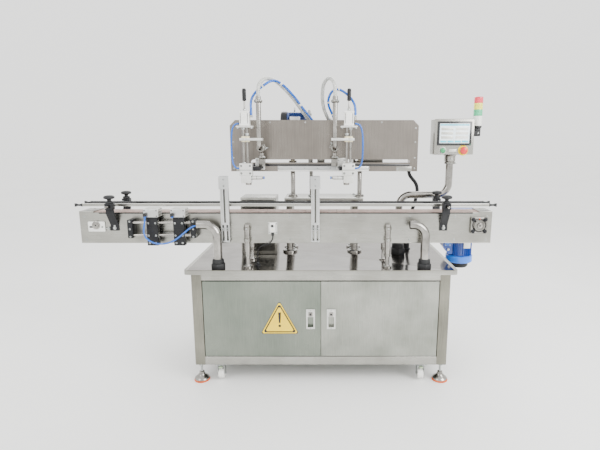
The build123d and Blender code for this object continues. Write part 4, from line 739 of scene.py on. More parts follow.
# ---- conveyor ------------------------------------------------------------------------------------
@dataclass
class Conveyor:
    """Side plates, slat chain, bearings, shafts, gearmotor and posts."""

    front: float = -245.0
    back: float = -135.0
    middle: float = -190.0
    drive_x: float = 935.0
    idler_x: float = -918.0
    shaft_z: float = 785.0
    pitch: float = 38.1
    chain_radius: float = 61.0

    def build(self, nodes: dict[str, bpy.types.Object]) -> None:
        """Builds every piece of the conveyor."""
        dress(nodes["conveyor_frame"], CROSS_STEEL)
        self.fasteners()
        self.chain()
        self.bearings()
        self.shafts()
        self.gearmotor()
        self.posts()

    def fasteners(self) -> None:
        """Screws and hemmed top edges of the side plates."""
        shape = Shape(CROSS_STEEL)
        for x in (-975, -640, -300, 20, 337, 600, 820, 975):
            for z in (712, 826):
                screw_head(shape, (x, self.front, z), (0, -1, 0), 3.6)
                screw_head(shape, (x, self.back, z), (0, 1, 0), 3.6)
        for y in (self.front, self.back - 3):
            shape.block((-929, y - 0.3, 842), (934, y + 3.3, 846), None, 1.2)
            shape.block((-1000, y - 0.3, 695), (1000, y + 3.3, 698), None, 1.2)
        for x0, x1 in ((-1000, -931), (937, 1000)):
            shape.block((x0, self.front - 0.4, 848.6), (x1, self.back + 0.4, 852.4), None, 1.4)
            for y in (self.front + 20, self.back - 20):
                screw_head(shape, ((x0 + x1) / 2, y, 852.3), (0, 0, 1), 2.6)
        shape.piece("side_plate_fixings", "machine", [], "brushed_stainless")

    def chain(self) -> None:
        """Flat-top slats round both sprockets, each with its hinge barrel."""
        span = self.drive_x - self.idler_x
        turn = math.pi * self.chain_radius
        total = 2 * span + 2 * turn
        count = round(total / self.pitch)
        shape = Shape(CHAIN)
        for number in range(count):
            place, angle = self._along(number * total / count, span, turn)
            matrix = Matrix.Translation(place) @ Matrix.Rotation(angle, 4, "Y")
            self._slat(shape, matrix, total / count)
        # Black strips inside both side plates under the chain's edges: painted shade of the gap between chain
        # and plates.
        for face, way in ((self.front, -1), (self.back, 1)):
            low, high = sorted((face + way * 0.3, face - way * 3.4))
            shape.block((-905, low, 840.5), (905, high, 845.6), BLACK_METAL, 0.3)
        shape.piece("flat_top_chain", "machine", ["conveyor_belt"], "chain_plastic")

    def _along(self, way: float, span: float, turn: float) -> tuple[Vector, float]:
        """Place and pitch angle at a distance along the loop's middle line."""
        if way < span:
            return Vector((self.idler_x + way, self.middle, self.shaft_z + self.chain_radius)), 0.0
        way -= span
        if way < turn:
            angle = way / self.chain_radius
            return Vector((self.drive_x + self.chain_radius * math.sin(angle), self.middle,
                           self.shaft_z + self.chain_radius * math.cos(angle))), angle
        way -= turn
        if way < span:
            return Vector((self.drive_x - way, self.middle, self.shaft_z - self.chain_radius)), math.pi
        angle = math.pi + (way - span) / self.chain_radius
        return Vector((self.idler_x + self.chain_radius * math.sin(angle), self.middle,
                       self.shaft_z + self.chain_radius * math.cos(angle))), angle

    @staticmethod
    def _slat(shape: Shape, matrix: Matrix, pitch: float) -> None:
        """One slat as a chamfered plate with two hinge barrels under its leading edge."""
        plate = Matrix.Diagonal((pitch - 1.1, 82.3, 3.7, 1))
        made = bmesh.ops.create_cube(shape.bm, size=1.0, matrix=matrix @ plate)
        shape._dress(made["verts"], None, 0.5, 1)
        for y in (-24, 24):
            offset = Matrix.Translation((pitch / 2 - 4, y, -2.0)) @ Matrix.Diagonal((7, 12, 3.6, 1))
            bmesh.ops.create_cube(shape.bm, size=1.0, matrix=matrix @ offset)

    def bearings(self) -> None:
        """Square flange bearings at the drive end and take-up plates at the idler end."""
        drive, idler = Shape(TURNED_STEEL), Shape(WHITE_METAL)
        x, z = self.drive_x, self.shaft_z
        for face, way in ((self.front, -1), (self.back, 1)):
            a, b = sorted((face, face + way * 13.8))
            drive.block((x - 41, a, z - 41), (x + 41, b, z + 41), None, 6, 3)
            drive.lathe([(13, 12), (34, 12), (34, 14.4), (13, 14.4)], (x, face, z), BLACK_METAL, (0, way, 0))
            drive.lathe([(13, 12), (30, 12), (30, 15), (27, 18), (26, 21.8), (20, 22), (19, 20.5),
                         (13, 20.5)],
                        (x, face, z), TURNED_STEEL, (0, way, 0))
            for dx in (-29, 29):
                for dz in (-29, 29):
                    hex_bolt(drive, (x + dx, face + way * 13.8, z + dz), (0, way, 0), 7.5, BLACK_METAL)
            drive.rod((x, face + way * 14, z + 34), (x, face + way * 20, z + 34), 3.2, ORANGE_RUBBER, 0.8, 14)
            x1 = self.idler_x
            a, b = sorted((face, face + way * 9.8))
            idler.block((x1 - 41, a, z - 32), (x1 + 41, b, z + 18), None, 8, 4)
            idler.lathe([(12.6, 9), (20, 9), (20, 11), (17, 12.4), (12.6, 12.4)], (x1, face, z), BRIGHT_STEEL,
                        (0, way, 0))
            c, d = sorted((face + way * 8, face + way * 9.95))
            idler.block((x1 - 34, c, z - 13), (x1 - 14, d, z - 3), BLACK_METAL, 2)
            screw_head(idler, (x1 + 30, face + way * 9.8, z - 8), (0, way, 0), 4)
            idler.rod((x1 + 41, face + way * 5, z - 16), (x1 + 66, face + way * 5, z - 16), 3, ZINC, 0.4, 14)
            idler.block((x1 + 58, min(face, face + way * 10), z - 26),
                        (x1 + 64, max(face, face + way * 10), z - 6), ZINC, 1)
        for shape, name in ((drive, "drive_flange_bearings"), (idler, "idler_take_up_plates")):
            shape.piece(name, "machine", ["shaft_bearings"] if shape is drive else [], "polished_stainless")

    def shafts(self) -> None:
        """Both shafts with toothed sprockets inside the chain."""
        for name, x, ends in (("drive", self.drive_x, (-271, -29)), ("idler", self.idler_x, (-261, -119))):
            shape = Shape(BRIGHT_STEEL)
            shape.rod((x, ends[0], self.shaft_z), (x, ends[1], self.shaft_z), 12.45, None, 1.2, 32)
            shape.rod((x, ends[0] - 0.2, self.shaft_z), (x, ends[0] + 3, self.shaft_z), 4, BLACK_PLASTIC, 0.4,
                      16)
            for y in (self.middle - 24, self.middle + 24):
                shape.lathe([(12, -14), (26, -14), (30, -12), (30, -8), (50, -7), (50, 7), (30, 8), (30, 12),
                             (26, 14),
                             (12, 14)], (x, y, self.shaft_z), NYLON, (0, 1, 0))
                for tooth in range(10):
                    angle = 2 * math.pi * tooth / 10
                    arm = Vector((math.sin(angle), 0, math.cos(angle)))
                    centre = Vector((x, y, self.shaft_z))
                    shape.rod(centre + arm * 48, centre + arm * 57.5, 8, NYLON, 0.8, 8, 5)
            shape.piece(f"{name}_shaft_with_sprockets", f"{name}_shaft", [f"{name}_shaft"],
                        "polished_stainless")

    def gearmotor(self) -> None:
        """Worm gearbox, ribbed motor, fan cover, terminal box and a blank rating plate."""
        low, _ = box_mm("conveyor_gearmotor")
        x, y, z = self.drive_x - 30, -65.0, self.shaft_z
        shape = Shape(GEAR_BLUE)
        shape.block((x - 50, -105, z - 55), (self.drive_x + 45, -25, z + 55), None, 7, 3)
        shape.lathe([(13, -113), (26, -113), (31, -109), (38, -104), (0, -104)], (self.drive_x, 0, z), None,
                    (0, 1, 0))
        shape.lathe([(13, -26), (34, -26), (34, -22), (22, -18.5), (13, -18.5)], (self.drive_x, 0, z),
                    CAST_ALUMINIUM, (0, 1, 0))
        for dz in (-40, 40):
            for dx in (-40, 28):
                hex_bolt(shape, (x + dx, -25, z + dz), (0, 1, 0), 5)
        MotorBody(Vector((x, y, z - 55)), Vector((0, 0, -1)), z - 55 - low.z, 69.0, 49.0, 28.0, 37.0,
                  GEAR_BLUE, RIM_BLUE).add_to(shape)
        outline = [(810.5, y - 39, 692), (810.5, y - 39, 642), (838, y - 39, 606), (856, y - 39, 606),
                   (856, y - 39, 692)]
        shape.prism(outline, (0, 78, 0), None, 2.5)
        shape.block((816, y - 40, 648), (848, y - 38.6, 688), RIM_BLUE, 1.0)
        for dx in (820, 844):
            screw_head(shape, (dx, y - 40, 652), (0, -1, 0), 2.4)
        shape.rod((836, y - 44, 628), (836, y - 38, 628), 7, WHITE_PLASTIC, 1, 6)
        shape.block((x + 3, y - 66.5, 640), (x + 37, y - 61, 692), WHITE_METAL, 1.0)
        shape.piece("belt_gearmotor", "machine", ["conveyor_gearmotor"], "blue_paint")

    def posts(self) -> None:
        """Telescopic posts: bolted flange, inner rod, upper tube with a set screw and two clamps."""
        shape = Shape(BRIGHT_STEEL)
        for x in (-187.0, 495.0):
            for face, way in ((self.front, -1), (self.back, 1)):
                y = face + way * 14.5
                shape.lathe([(0, 578), (22, 578), (22, 583), (21, 584), (11.5, 584.4), (10, 587), (10, 633),
                             (0, 633)],
                            (x, y, 0))
                shape.lathe([(9.8, 632), (14, 632), (14, 789), (12.6, 791), (0, 791)], (x, y, 0))
                shape.lathe([(13.9, 633), (14.7, 633.6), (14.7, 645), (13.9, 646)], (x, y, 0), TURNED_STEEL)
                for k in range(4):
                    angle = math.pi / 4 + k * math.pi / 2
                    at = (x + 16.5 * math.cos(angle), y + 16.5 * math.sin(angle), 584)
                    hex_bolt(shape, at, (0, 0, 1), 2.8)
                shape.rod((x + 13, y, 639), (x + 19, y, 639), 3.0, ZINC, 0.6, 6)
                for z in (715, 771):
                    a, b = sorted((face, y - way * 4))
                    shape.block((x - 8, a, z - 8), (x + 8, b, z + 8), None, 1)
                    shape.lathe([(13.9, -9), (16.8, -8), (16.8, 8), (13.9, 9)], (x, y, z), TURNED_STEEL)
                    shape.rod((x, y + way * 16, z), (x, y + way * 20, z), 4.6, ZINC, 0.7, 6)
        shape.piece("telescopic_posts", "machine", ["conveyor_posts"], "polished_stainless")


@dataclass
class MotorBody:
    """A ribbed motor body with end bell and fan cover, along any direction."""

    start: Vector
    way: Vector
    length: float
    radius: float
    fan: float
    cover: float
    rim: float
    paint: Finish
    rim_paint: Finish
    ribs: int = 30

    def add_to(self, shape: Shape) -> None:
        """Adds the flange, ribbed housing, end bell and slotted fan cover to a shape."""
        r, end, fan = self.radius, self.length, self.fan
        bell = end - self.cover - self.rim
        flange = [(0, 0), (r - 14, 0), (r - 14, 8), (r - 7, 9), (r - 7, 18), (r - 13, 20), (r - 13, bell + 1),
                  (0, bell + 1)]
        shape.lathe(flange, self.start, self.paint, self.way)
        rim = [(0, bell), (r - 4, bell), (r, bell + 3), (r, end - self.cover - 4), (r - 4, end - self.cover),
               (0, end - self.cover)]
        shape.lathe(rim, self.start, self.rim_paint, self.way, 44)
        cover = [(0, end - self.cover - 0.5), (fan - 2, end - self.cover - 0.5), (fan, end - self.cover + 3),
                 (fan, end - 9), (fan - 4, end - 2), (fan - 12, end), (0, end)]
        shape.lathe(cover, self.start, BLACK_METAL, self.way, 44)
        side = self.way.orthogonal().normalized()
        across = self.way.cross(side)
        for rib in range(self.ribs):
            angle = 2 * math.pi * rib / self.ribs
            out = side * math.cos(angle) + across * math.sin(angle)
            base = self.start + out * (r - 14)
            thick = self.way.cross(out).normalized() * 1.0
            corners = [base + self.way * 20 - thick, base + self.way * 20 + thick,
                       base + out * 8.4 + self.way * 24 + thick * 0.6,
                       base + out * 8.4 + self.way * 24 - thick * 0.6]
            shape.prism(corners, self.way * (bell - 24), self.paint, 0)
        for ring in range(3):
            shape.ring(self.start + self.way * (end - 0.1), self.way, 14 + ring * 13, 1.3, BLACK_PLASTIC, 32)


# ---- rails, gates, posts -------------------------------------------------------------------------
@dataclass
class GuideRails:
    """Front and rear bottle rails with brackets, cross rods and clamping knobs."""

    rail_z: float = 882.0
    xs: tuple[float, float] = (-830.0, 765.0)

    def build(self, nodes: dict[str, bpy.types.Object]) -> None:
        """Builds both rails, the brackets and the four knobs."""
        self.rail("front", -236.0, -1, RAIL_PLASTIC)
        self.rail("rear", -144.0, 1, BLACK_GLOSS)
        self.brackets()
        for row, y in (("front", -285.0), ("rear", -95.0)):
            for word, x in zip(("left", "right"), self.xs):
                self.knob(f"rail_knob_{row}_{word}", x, y)

    def rail(self, row: str, y: float, way: int, finish: Finish) -> None:
        """One rail: steel channel, bull-nosed polymer strip, end caps and chromed cross rods."""
        z = self.rail_z
        shape = Shape(finish)
        inner = y - way * 4
        shape.block((-986, min(inner, y - way * 0.5), z - 7.3), (986, max(inner, y - way * 0.5), z + 7.3),
                    None, 3, 3)
        shape.block((-986, min(y - way * 0.6, y + way * 3.8), z - 6),
                    (986, max(y - way * 0.6, y + way * 3.8), z + 6),
                    CROSS_STEEL, 0.8)
        for end in (-1, 1):
            high = [(1020, 7.5), (1015, 7.5), (1004, 3.4), (992, 4.6), (984, 7.4)]
            outline = [(end * a, y - 4, z + b) for a, b in high] + [(end * a, y - 4, z - b) for a,
                                                                    b in high[::-1]]
            shape.prism(outline, (0, 8, 0), BLACK_PLASTIC, 0.8)
        for x in self.xs:
            shape.rod((x, y + way * 3.9, z), (x, y + way * 93.8, z), 5.95, BRIGHT_STEEL, 1.2, 24)
            shape.rod((x, y + way * 3.6, z), (x, y + way * 8, z), 8.5, ZINC, 0.8, 6)
        shape.piece(f"{row}_bottle_rail", f"{row}_guide_rail", [f"{row}_guide_rail"],
                    "rail_light" if row == "front" else "rail_black")

    def brackets(self) -> None:
        """Cranked black brackets with slotted feet, bolts and clamp blocks."""
        shape = Shape(BLACK_METAL)
        for face, way in ((-245.0, -1), (-135.0, 1)):
            middle = face + way * 40
            for x in self.xs:
                def span(a: float, b: float) -> tuple[float, float]:
                    """Two offsets from the plate as an ordered Y range."""
                    low, high = sorted((face + way * a, face + way * b))
                    return low, high

                near, far = face + way * 37, face + way * 43
                outline = [(face, 758), (face, 792), (near, 848), (near, 868), (far, 868), (far, 846),
                           (face + way * 6, 788), (face + way * 6, 758)]
                shape.prism([(x - 19, y, z) for y, z in outline], (38, 0, 0), None, 1.2)
                a, b = span(25, 55)
                shape.block((x - 19, a, 867), (x - 6.2, b, 897), None, 2)
                shape.block((x + 6.2, a, 867), (x + 19, b, 897), None, 2)
                shape.block((x - 7, a, 867), (x + 7, b, 875.9), None, 0.6)
                shape.block((x - 7, a, 888.1), (x + 7, middle - 4.2, 897), None, 0.6)
                shape.block((x - 7, middle + 4.2, 888.1), (x + 7, b, 897), None, 0.6)
                low, high = sorted((face + way * 5.8, face + way * 6.6))
                shape.block((x - 4, low, 763), (x + 4, high, 785), ZINC, 0.3)
                hex_bolt(shape, (x, face + way * 6.4, 771), (0, way, 0), 6)
        shape.piece("cranked_rail_brackets", "machine", ["rail_brackets"], "black_plastic")

    def knob(self, node: str, x: float, y: float) -> None:
        """A domed clamping knob with a neck, a base collar and a threaded stem."""
        shape = Shape(BLACK_PLASTIC)
        bottom, top = 898.0, 935.0
        shape.lathe([(0, bottom), (16, bottom), (17, bottom + 1.5), (17, bottom + 7), (15, bottom + 9),
                     (9.5, bottom + 10),
                     (8.6, bottom + 14), (11, bottom + 18), (21, bottom + 21), (24.4, bottom + 23),
                     (25, bottom + 27),
                     (24.2, top - 6), (20, top - 2.5), (12, top - 0.6), (0, top)], (x, y, 0), None, (0, 0, 1),
                     48)
        thread = [(0, 889.5)] + [(3.9 - 0.5 * (k % 2),
                                  889.5 + k * 0.9) for k in range(10)] + [(0, bottom + 1)]
        shape.lathe(thread, (x, y, 0), ZINC, steps=16)
        shape.piece(f"domed_{node}", node, [node], "black_plastic")


@dataclass
class GateUnit:
    """Two bottle gates that slide on a pair of rods in front of the conveyor."""

    y: float = -286.0
    zs: tuple[float, float] = (744.0, 804.0)
    x0: float = -750.0
    x1: float = -426.0
    carriages: tuple[float, float] = (-631.0, -504.0)

    def build(self, nodes: dict[str, bpy.types.Object]) -> None:
        """Builds rods, end blocks, carriages and stops."""
        self.rods()
        for number, x in enumerate(self.carriages, start=1):
            self.carriage(number, x)
            self.stop(number, x)

    def rods(self) -> None:
        """Chromed rods in bolted end blocks."""
        shape = Shape(BRIGHT_STEEL)
        for z in self.zs:
            shape.rod((self.x0 + 1, self.y, z), (self.x1 - 1, self.y, z), 6.95, None, 1, 28)
        for x in (self.x0, self.x1 - 24):
            shape.block((x, self.y - 10, 730), (x + 24, -245, 818), BLACK_METAL, 1.8, 3)
            for z in (737, 774, 811):
                screw_head(shape, (x + 12, self.y - 10, z), (0, -1, 0), 3.4)
            for z in self.zs:
                shape.ring((x if x == self.x0 else x + 24, self.y, z), (1, 0, 0), 8, 0.9, ZINC, 24)
        shape.piece("gate_rods_in_blocks", "machine", ["gate_rods"], "polished_stainless")

    def carriage(self, number: int, x: float) -> None:
        """Black carriage with clamp screws and a compact cylinder with air fittings on top."""
        y0, y1 = self.y - 15, self.y + 15
        shape = Shape(BLACK_METAL)
        shape.block((x - 26, y0, 695), (x + 26, y1, 832), None, 1.8, 3)
        shape.block((x - 20, y0 - 1.6, 766), (x + 20, y0 + 1, 784), None, 0.8)
        for z in self.zs:
            for dx in (-26.2, 25.4):
                shape.lathe([(7.1, 0), (12, 0), (12, 0.8), (7.1, 0.8)], (x + dx, self.y, z), ZINC, (1, 0, 0))
            for dx in (-17, 17):
                screw_head(shape, (x + dx, y0, z), (0, -1, 0), 3.6)
        for dx in (-15, 15):
            screw_head(shape, (x + dx, y0, 708), (0, -1, 0), 3.6)
        c0, c1 = y0 - 8, -245.0
        shape.block((x - 35, c0 + 3, 832.4), (x + 35, c1 - 3, 872), CAST_ALUMINIUM, 3, 3)
        for y, way in ((c0, 1), (c1, -1)):
            a, b = sorted((y, y + way * 4))
            shape.block((x - 34, a, 833), (x + 34, b, 871), ALUMINIUM, 2.4, 3)
        for dx in (-28, 28):
            for z in (839, 865):
                shape.rod((x + dx, c0 - 0.8, z), (x + dx, c0 + 0.5, z), 3, BLACK_PLASTIC, 0.3, 16)
        for dz in (6, 20):
            shape.block((x - 35.3, c0 + 8, 832 + dz + 3), (x + 35.3, c1 - 8, 832 + dz + 5.4), BLACK_METAL,
                        0.3)
        shape.block((x - 30, c0 - 16, 838), (x - 18, c0 + 0.5, 854), BLACK_PLASTIC, 2, 3)
        shape.lathe([(0, -2), (6.2, -2), (6.2, 4), (5.2, 6), (0, 6)], (x - 24, c0 - 9, 838), CYAN_HOSE,
                    (0, 0, -1), 20)
        shape.piece(f"gate_slide_{number}", f"gate_carriage_{number}", [f"gate_carriage_{number}"],
                    "black_anodised")

    def stop(self, number: int, x: float) -> None:
        """Piston rod with a soft stop pad."""
        shape = Shape(BRIGHT_STEEL)
        shape.rod((x, -300, 860), (x, -237, 860), 4.95, None, 0.6, 24)
        shape.lathe([(0, 0), (6, 0), (7.8, 1.5), (8, 3), (8, 6), (6.5, 7.8), (0, 8)], (x, -237, 860),
                    BLACK_PLASTIC,
                    (0, 1, 0))
        shape.rod((x, -243, 860), (x, -239, 860), 7.5, ZINC, 0.6, 6)
        shape.piece(f"stop_rod_{number}", f"gate_stop_{number}", [f"gate_stop_{number}"],
                    "polished_stainless")


@dataclass
class SensorPosts:
    """Grooved uprights with slotted feet, and the bottle sensor."""

    xs: tuple[float, float] = (-289.0, 144.0)
    front: float = -273.0
    back: float = -253.0
    low: float = 705.0
    high: float = 1023.0
    slots: tuple[float, float] = (712.0, 789.4)
    bolt_z: float = 770.0

    def build(self, nodes: dict[str, bpy.types.Object]) -> None:
        """Builds both uprights and the sensor."""
        for side, x in zip(Side, self.xs):
            self.upright(side, x)
        self.sensor()

    def upright(self, side: Side, x: float) -> None:
        """Extruded profile with a central groove, a cap plate and two slots side by side in its foot."""
        shape = Shape(ALUMINIUM)
        foot = self.slots[1] + 11.0
        for dx0, dx1 in ((-20, -4), (4, 20)):
            shape.block((x + dx0, self.front, foot - 1), (x + dx1, self.back, self.high), None, 0.7)
            shape.block((x + dx0 * 0.55 - 1.5, self.front - 0.3, foot),
                        (x + dx0 * 0.55, self.front + 0.5, self.high - 61),
                        TURNED_STEEL, 0.1)
        shape.block((x - 4.2, self.front + 5.8, foot - 1), (x + 4.2, self.back, self.high - 1), BLACK_METAL,
                    0)
        for dx0, dx1 in ((-20, -14.4), (-5.6, 5.6), (14.4, 20)):
            shape.block((x + dx0, self.front + 0.1, self.low + 1), (x + dx1, self.back - 0.1, foot), None,
                        0.5)
        for z0, z1 in ((self.low, self.slots[0]), (self.slots[1], foot)):
            shape.block((x - 20, self.front, z0), (x + 20, self.back, z1), None, 0.7)
        shape.block((x - 24, self.front - 4, self.high - 60), (x + 24, self.front + 0.2, self.high), None,
                    1.5, 3)
        shape.block((x - 20.5, self.front, self.high - 1.2), (x + 20.5, self.back, self.high), BLACK_PLASTIC,
                    0.5)
        for dz in (15, 45):
            screw_head(shape, (x, self.front - 3.7, self.high - dz), (0, -1, 0), 4)
        shape.piece(f"grooved_upright_{side.word}", f"sensor_post_{side.word}", [f"sensor_post_{side.word}"],
                    "aluminium_profile")

    def sensor(self) -> None:
        """Bottle sensor on its angle plate, and the bolts that clamp the uprights."""
        x, y = -64.0, -245.0
        shape = Shape(ZINC)
        shape.block((x - 22, y - 4, 740), (x + 22, y, 800), CAST_ALUMINIUM, 1.5)
        shape.block((x - 14, y - 24, 752), (x + 14, y - 3.8, 800), WHITE_PLASTIC, 3, 3)
        shape.rod((x, y - 14, 734.1), (x, y - 14, 753), 6, BLACK_PLASTIC, 1.2, 20)
        shape.rod((x, y - 14, 742), (x, y - 14, 748), 7.4, BLACK_PLASTIC, 0.6, 12)
        shape.lathe([(0, 0), (7, 0), (7, 2.4), (5.5, 3.2), (0, 3.4)], (x, y - 23.6, 784), BLACK_GLOSS,
                    (0, -1, 0), 24)
        shape.rod((x, y - 25, 765), (x, y - 23.5, 765), 2, YELLOW_LENS, 0.3, 14)
        for dx in (-18, 18):
            for z in (748, 792):
                screw_head(shape, (x + dx, y - 4, z), (0, -1, 0), 2.6)
        for post in self.xs:
            for bolt in (post - 10, post + 10):
                z = self.bolt_z
                shape.rod((bolt, self.back + 0.4, z), (bolt, y, z), 7.95, ALUMINIUM, 0.6, 24)
                shape.rod((bolt, self.front - 5, z), (bolt, self.back + 1, z), 3.95, ZINC, 0, 16)
                shape.rod((bolt, self.front - 6, z), (bolt, self.front - 0.6, z), 7, ZINC, 1.2, 18)
                # Black hexagon on the bolt's end: painted shade of its socket.
                shape.rod((bolt, self.front - 6.05, z), (bolt, self.front - 5.5, z), 3.4, BLACK_PLASTIC, 0, 6)
        shape.piece("bottle_eye_and_post_bolts", "machine", ["bottle_sensor"], "aluminium_profile")


# ---- pipes, lift, valve box ----------------------------------------------------------------------
@dataclass
class Pipework:
    """The two bent cable pipes and the bent pole of the control box."""

    conduit_y: float = -290.0

    def build(self, nodes: dict[str, bpy.types.Object]) -> None:
        """Builds the pipes with their nuts."""
        self.conduits()
        self.pole()

    def nut(self, shape: Shape, x: float, y: float, height: float, across: float) -> None:
        """A moulded hexagon gland nut with a stepped collar."""
        foot = 578.0
        shape.rod((x, y, foot), (x, y, foot + height * 0.55), across / 2, BLACK_PLASTIC, 2.5, 6)
        shape.lathe([(0, foot + height * 0.5), (across * 0.40, foot + height * 0.5),
                     (across * 0.42, foot + height * 0.6),
                     (across * 0.40, foot + height * 0.9), (across * 0.33, foot + height),
                     (0, foot + height)],
                    (x, y, 0), BLACK_PLASTIC, steps=12)

    def conduits(self) -> None:
        """Polished pipes, open at the end, with a rolled rim and a black disc in the mouth as painted shade
        of the inside.
        """
        shape = Shape(BRIGHT_STEEL)
        y, z = self.conduit_y, 794.0
        for x, end in ((-326.0, -420.0), (670.0, 594.0)):
            shape.pipe([(x, y, 590), (x, y, z), (end + 4, y, z)], 20.9, 58)
            shape.lathe([(0, 0), (18.5, 0), (18.5, 4.5), (20, 4.5), (20.9, 3.5), (20.9, -1)],
                        (end + 4.5, y, z), None,
                        (-1, 0, 0))
            # Black disc just inside the mouth: painted shade of the pipe's inside.
            shape.rod((end + 4.2, y, z), (end + 3.6, y, z), 18.6, BLACK_PLASTIC, 0, 28)
            self.nut(shape, x, y, 50, 70)
        shape.piece("bent_cable_pipes", "machine", ["bent_pipes"], "polished_stainless")

    def pole(self) -> None:
        """Bent pole in its floor nut, with a split collar under the swivel."""
        shape = Shape(BRIGHT_STEEL)
        y = 5.0
        shape.pipe([(590, y, 590), (590, y, 903), (850, y, 903), (850, y, 1112)], 18.9, 60)
        self.nut(shape, 590, y, 62, 80)
        shape.lathe([(18, 1066), (25, 1066), (27, 1068), (27, 1077), (25, 1078.8), (18, 1078.8)], (850, y, 0),
                    TURNED_STEEL)
        shape.block((872, y - 7, 1067), (884, y + 7, 1078), TURNED_STEEL, 1.2)
        screw_head(shape, (878, y - 7, 1072.5), (0, -1, 0), 3)
        shape.piece("bent_control_pole", "machine", [], "polished_stainless")


@dataclass
class Lift:
    """Columns, platform, guide posts, lifting screw and the valve box beside them."""

    columns: tuple[float, float] = (-2.0, 356.0)
    guides: tuple[float, float] = (18.0, 380.0)
    y: float = 55.0
    screw_x: float = 117.0

    def build(self, nodes: dict[str, bpy.types.Object]) -> None:
        """Builds the lift and the valve box."""
        self.stand()
        self.screw()
        self.valves()

    def stand(self) -> None:
        """Platform on four flanged columns with two guide posts in collars."""
        shape = Shape(BRIGHT_STEEL)
        shape.block((-25, -15, 872), (395, 190, 887), CROSS_STEEL, 2, 3)
        for x in self.columns:
            for y in (self.y, self.y + 100):
                shape.lathe([(0, 578), (40, 578), (40, 588), (38, 590), (21, 590.5), (19.5, 594), (19, 598),
                             (19, 866),
                             (24, 867), (24, 871.9), (0, 871.9)], (x, y, 0))
                for k in range(4):
                    angle = math.pi / 4 + k * math.pi / 2
                    hex_bolt(shape, (x + 30 * math.cos(angle), y + 30 * math.sin(angle), 590), (0, 0, 1), 5)
                screw_head(shape, (x, y, 887), (0, 0, 1), 7)
        for x in self.guides:
            shape.lathe([(0, 887), (25, 887), (25, 895), (23, 897), (12.3, 897.2), (12.3, 1147), (10.5, 1150),
                         (0, 1150)],
                        (x, self.y, 0))
            for dx, dy in ((-18, 0), (18, 0)):
                screw_head(shape, (x + dx, self.y + dy, 896.8), (0, 0, 1), 2.6)
        shape.piece("lift_stand", "machine", ["lift_columns"], "polished_stainless")

    def screw(self) -> None:
        """Threaded lifting screw with a thrust collar and a spoked hand wheel."""
        x, y = self.screw_x, self.y
        shape = Shape(TURNED_STEEL)
        thread = [(0, 888)] + [(9.9 - 1.3 * ((k // 2) % 2), 897 + k * 2.0) for k in range(124)] + [(0, 1145)]
        shape.lathe(thread, (x, y, 0), steps=24)
        shape.lathe([(0, 888), (15, 888), (17, 889.5), (17, 895), (15, 897), (0, 897)], (x, y, 0), ZINC)
        shape.rod((x, y, 846), (x, y, 888.5), 5.95, None, 0.6, 20)
        shape.ring((x, y, 856), (0, 0, 1), 31, 3.9, BLACK_PLASTIC, 36)
        shape.lathe([(0, 850.4), (10, 850.4), (11, 852), (11, 860), (9, 861.8), (0, 861.8)], (x, y, 0),
                    BLACK_PLASTIC)
        for spoke in range(3):
            angle = 2 * math.pi * spoke / 3
            arm = Vector((math.cos(angle), math.sin(angle), 0))
            centre = Vector((x, y, 856))
            shape.rod(centre + arm * 9, centre + arm * 30, 2.6, BLACK_PLASTIC, 0.5, 12)
        shape.piece("threaded_lifting_screw", "lead_screw", ["lead_screw"], "polished_stainless")

    def valves(self) -> None:
        """Closed box with a seamed lid and a row of push-in fittings."""
        low, high = box_mm("valve_box")
        shape = Shape(CROSS_STEEL)
        shape.block(low, high, None, 3, 3)
        shape.block((low.x + 8, low.y - 0.0, low.z + 20), (high.x - 8, low.y + 1.5, high.z - 12), SHEET_STEEL,
                    0.6)
        shape.block((low.x - 0.0, low.y + 4, high.z - 13), (low.x + 1.2, high.y - 4, high.z - 11.4),
                    BLACK_PLASTIC, 0.2)
        shape.block((high.x - 1.2, low.y + 4, high.z - 13), (high.x, high.y - 4, high.z - 11.4),
                    BLACK_PLASTIC, 0.2)
        for z in (700, 740, 780):
            shape.rod((high.x - 4, low.y + 30, z), (high.x - 0.1, low.y + 30, z), 7, BLACK_PLASTIC, 0.8, 6)
        shape.piece("air_valve_box", "machine", ["valve_box"], "box_stainless")


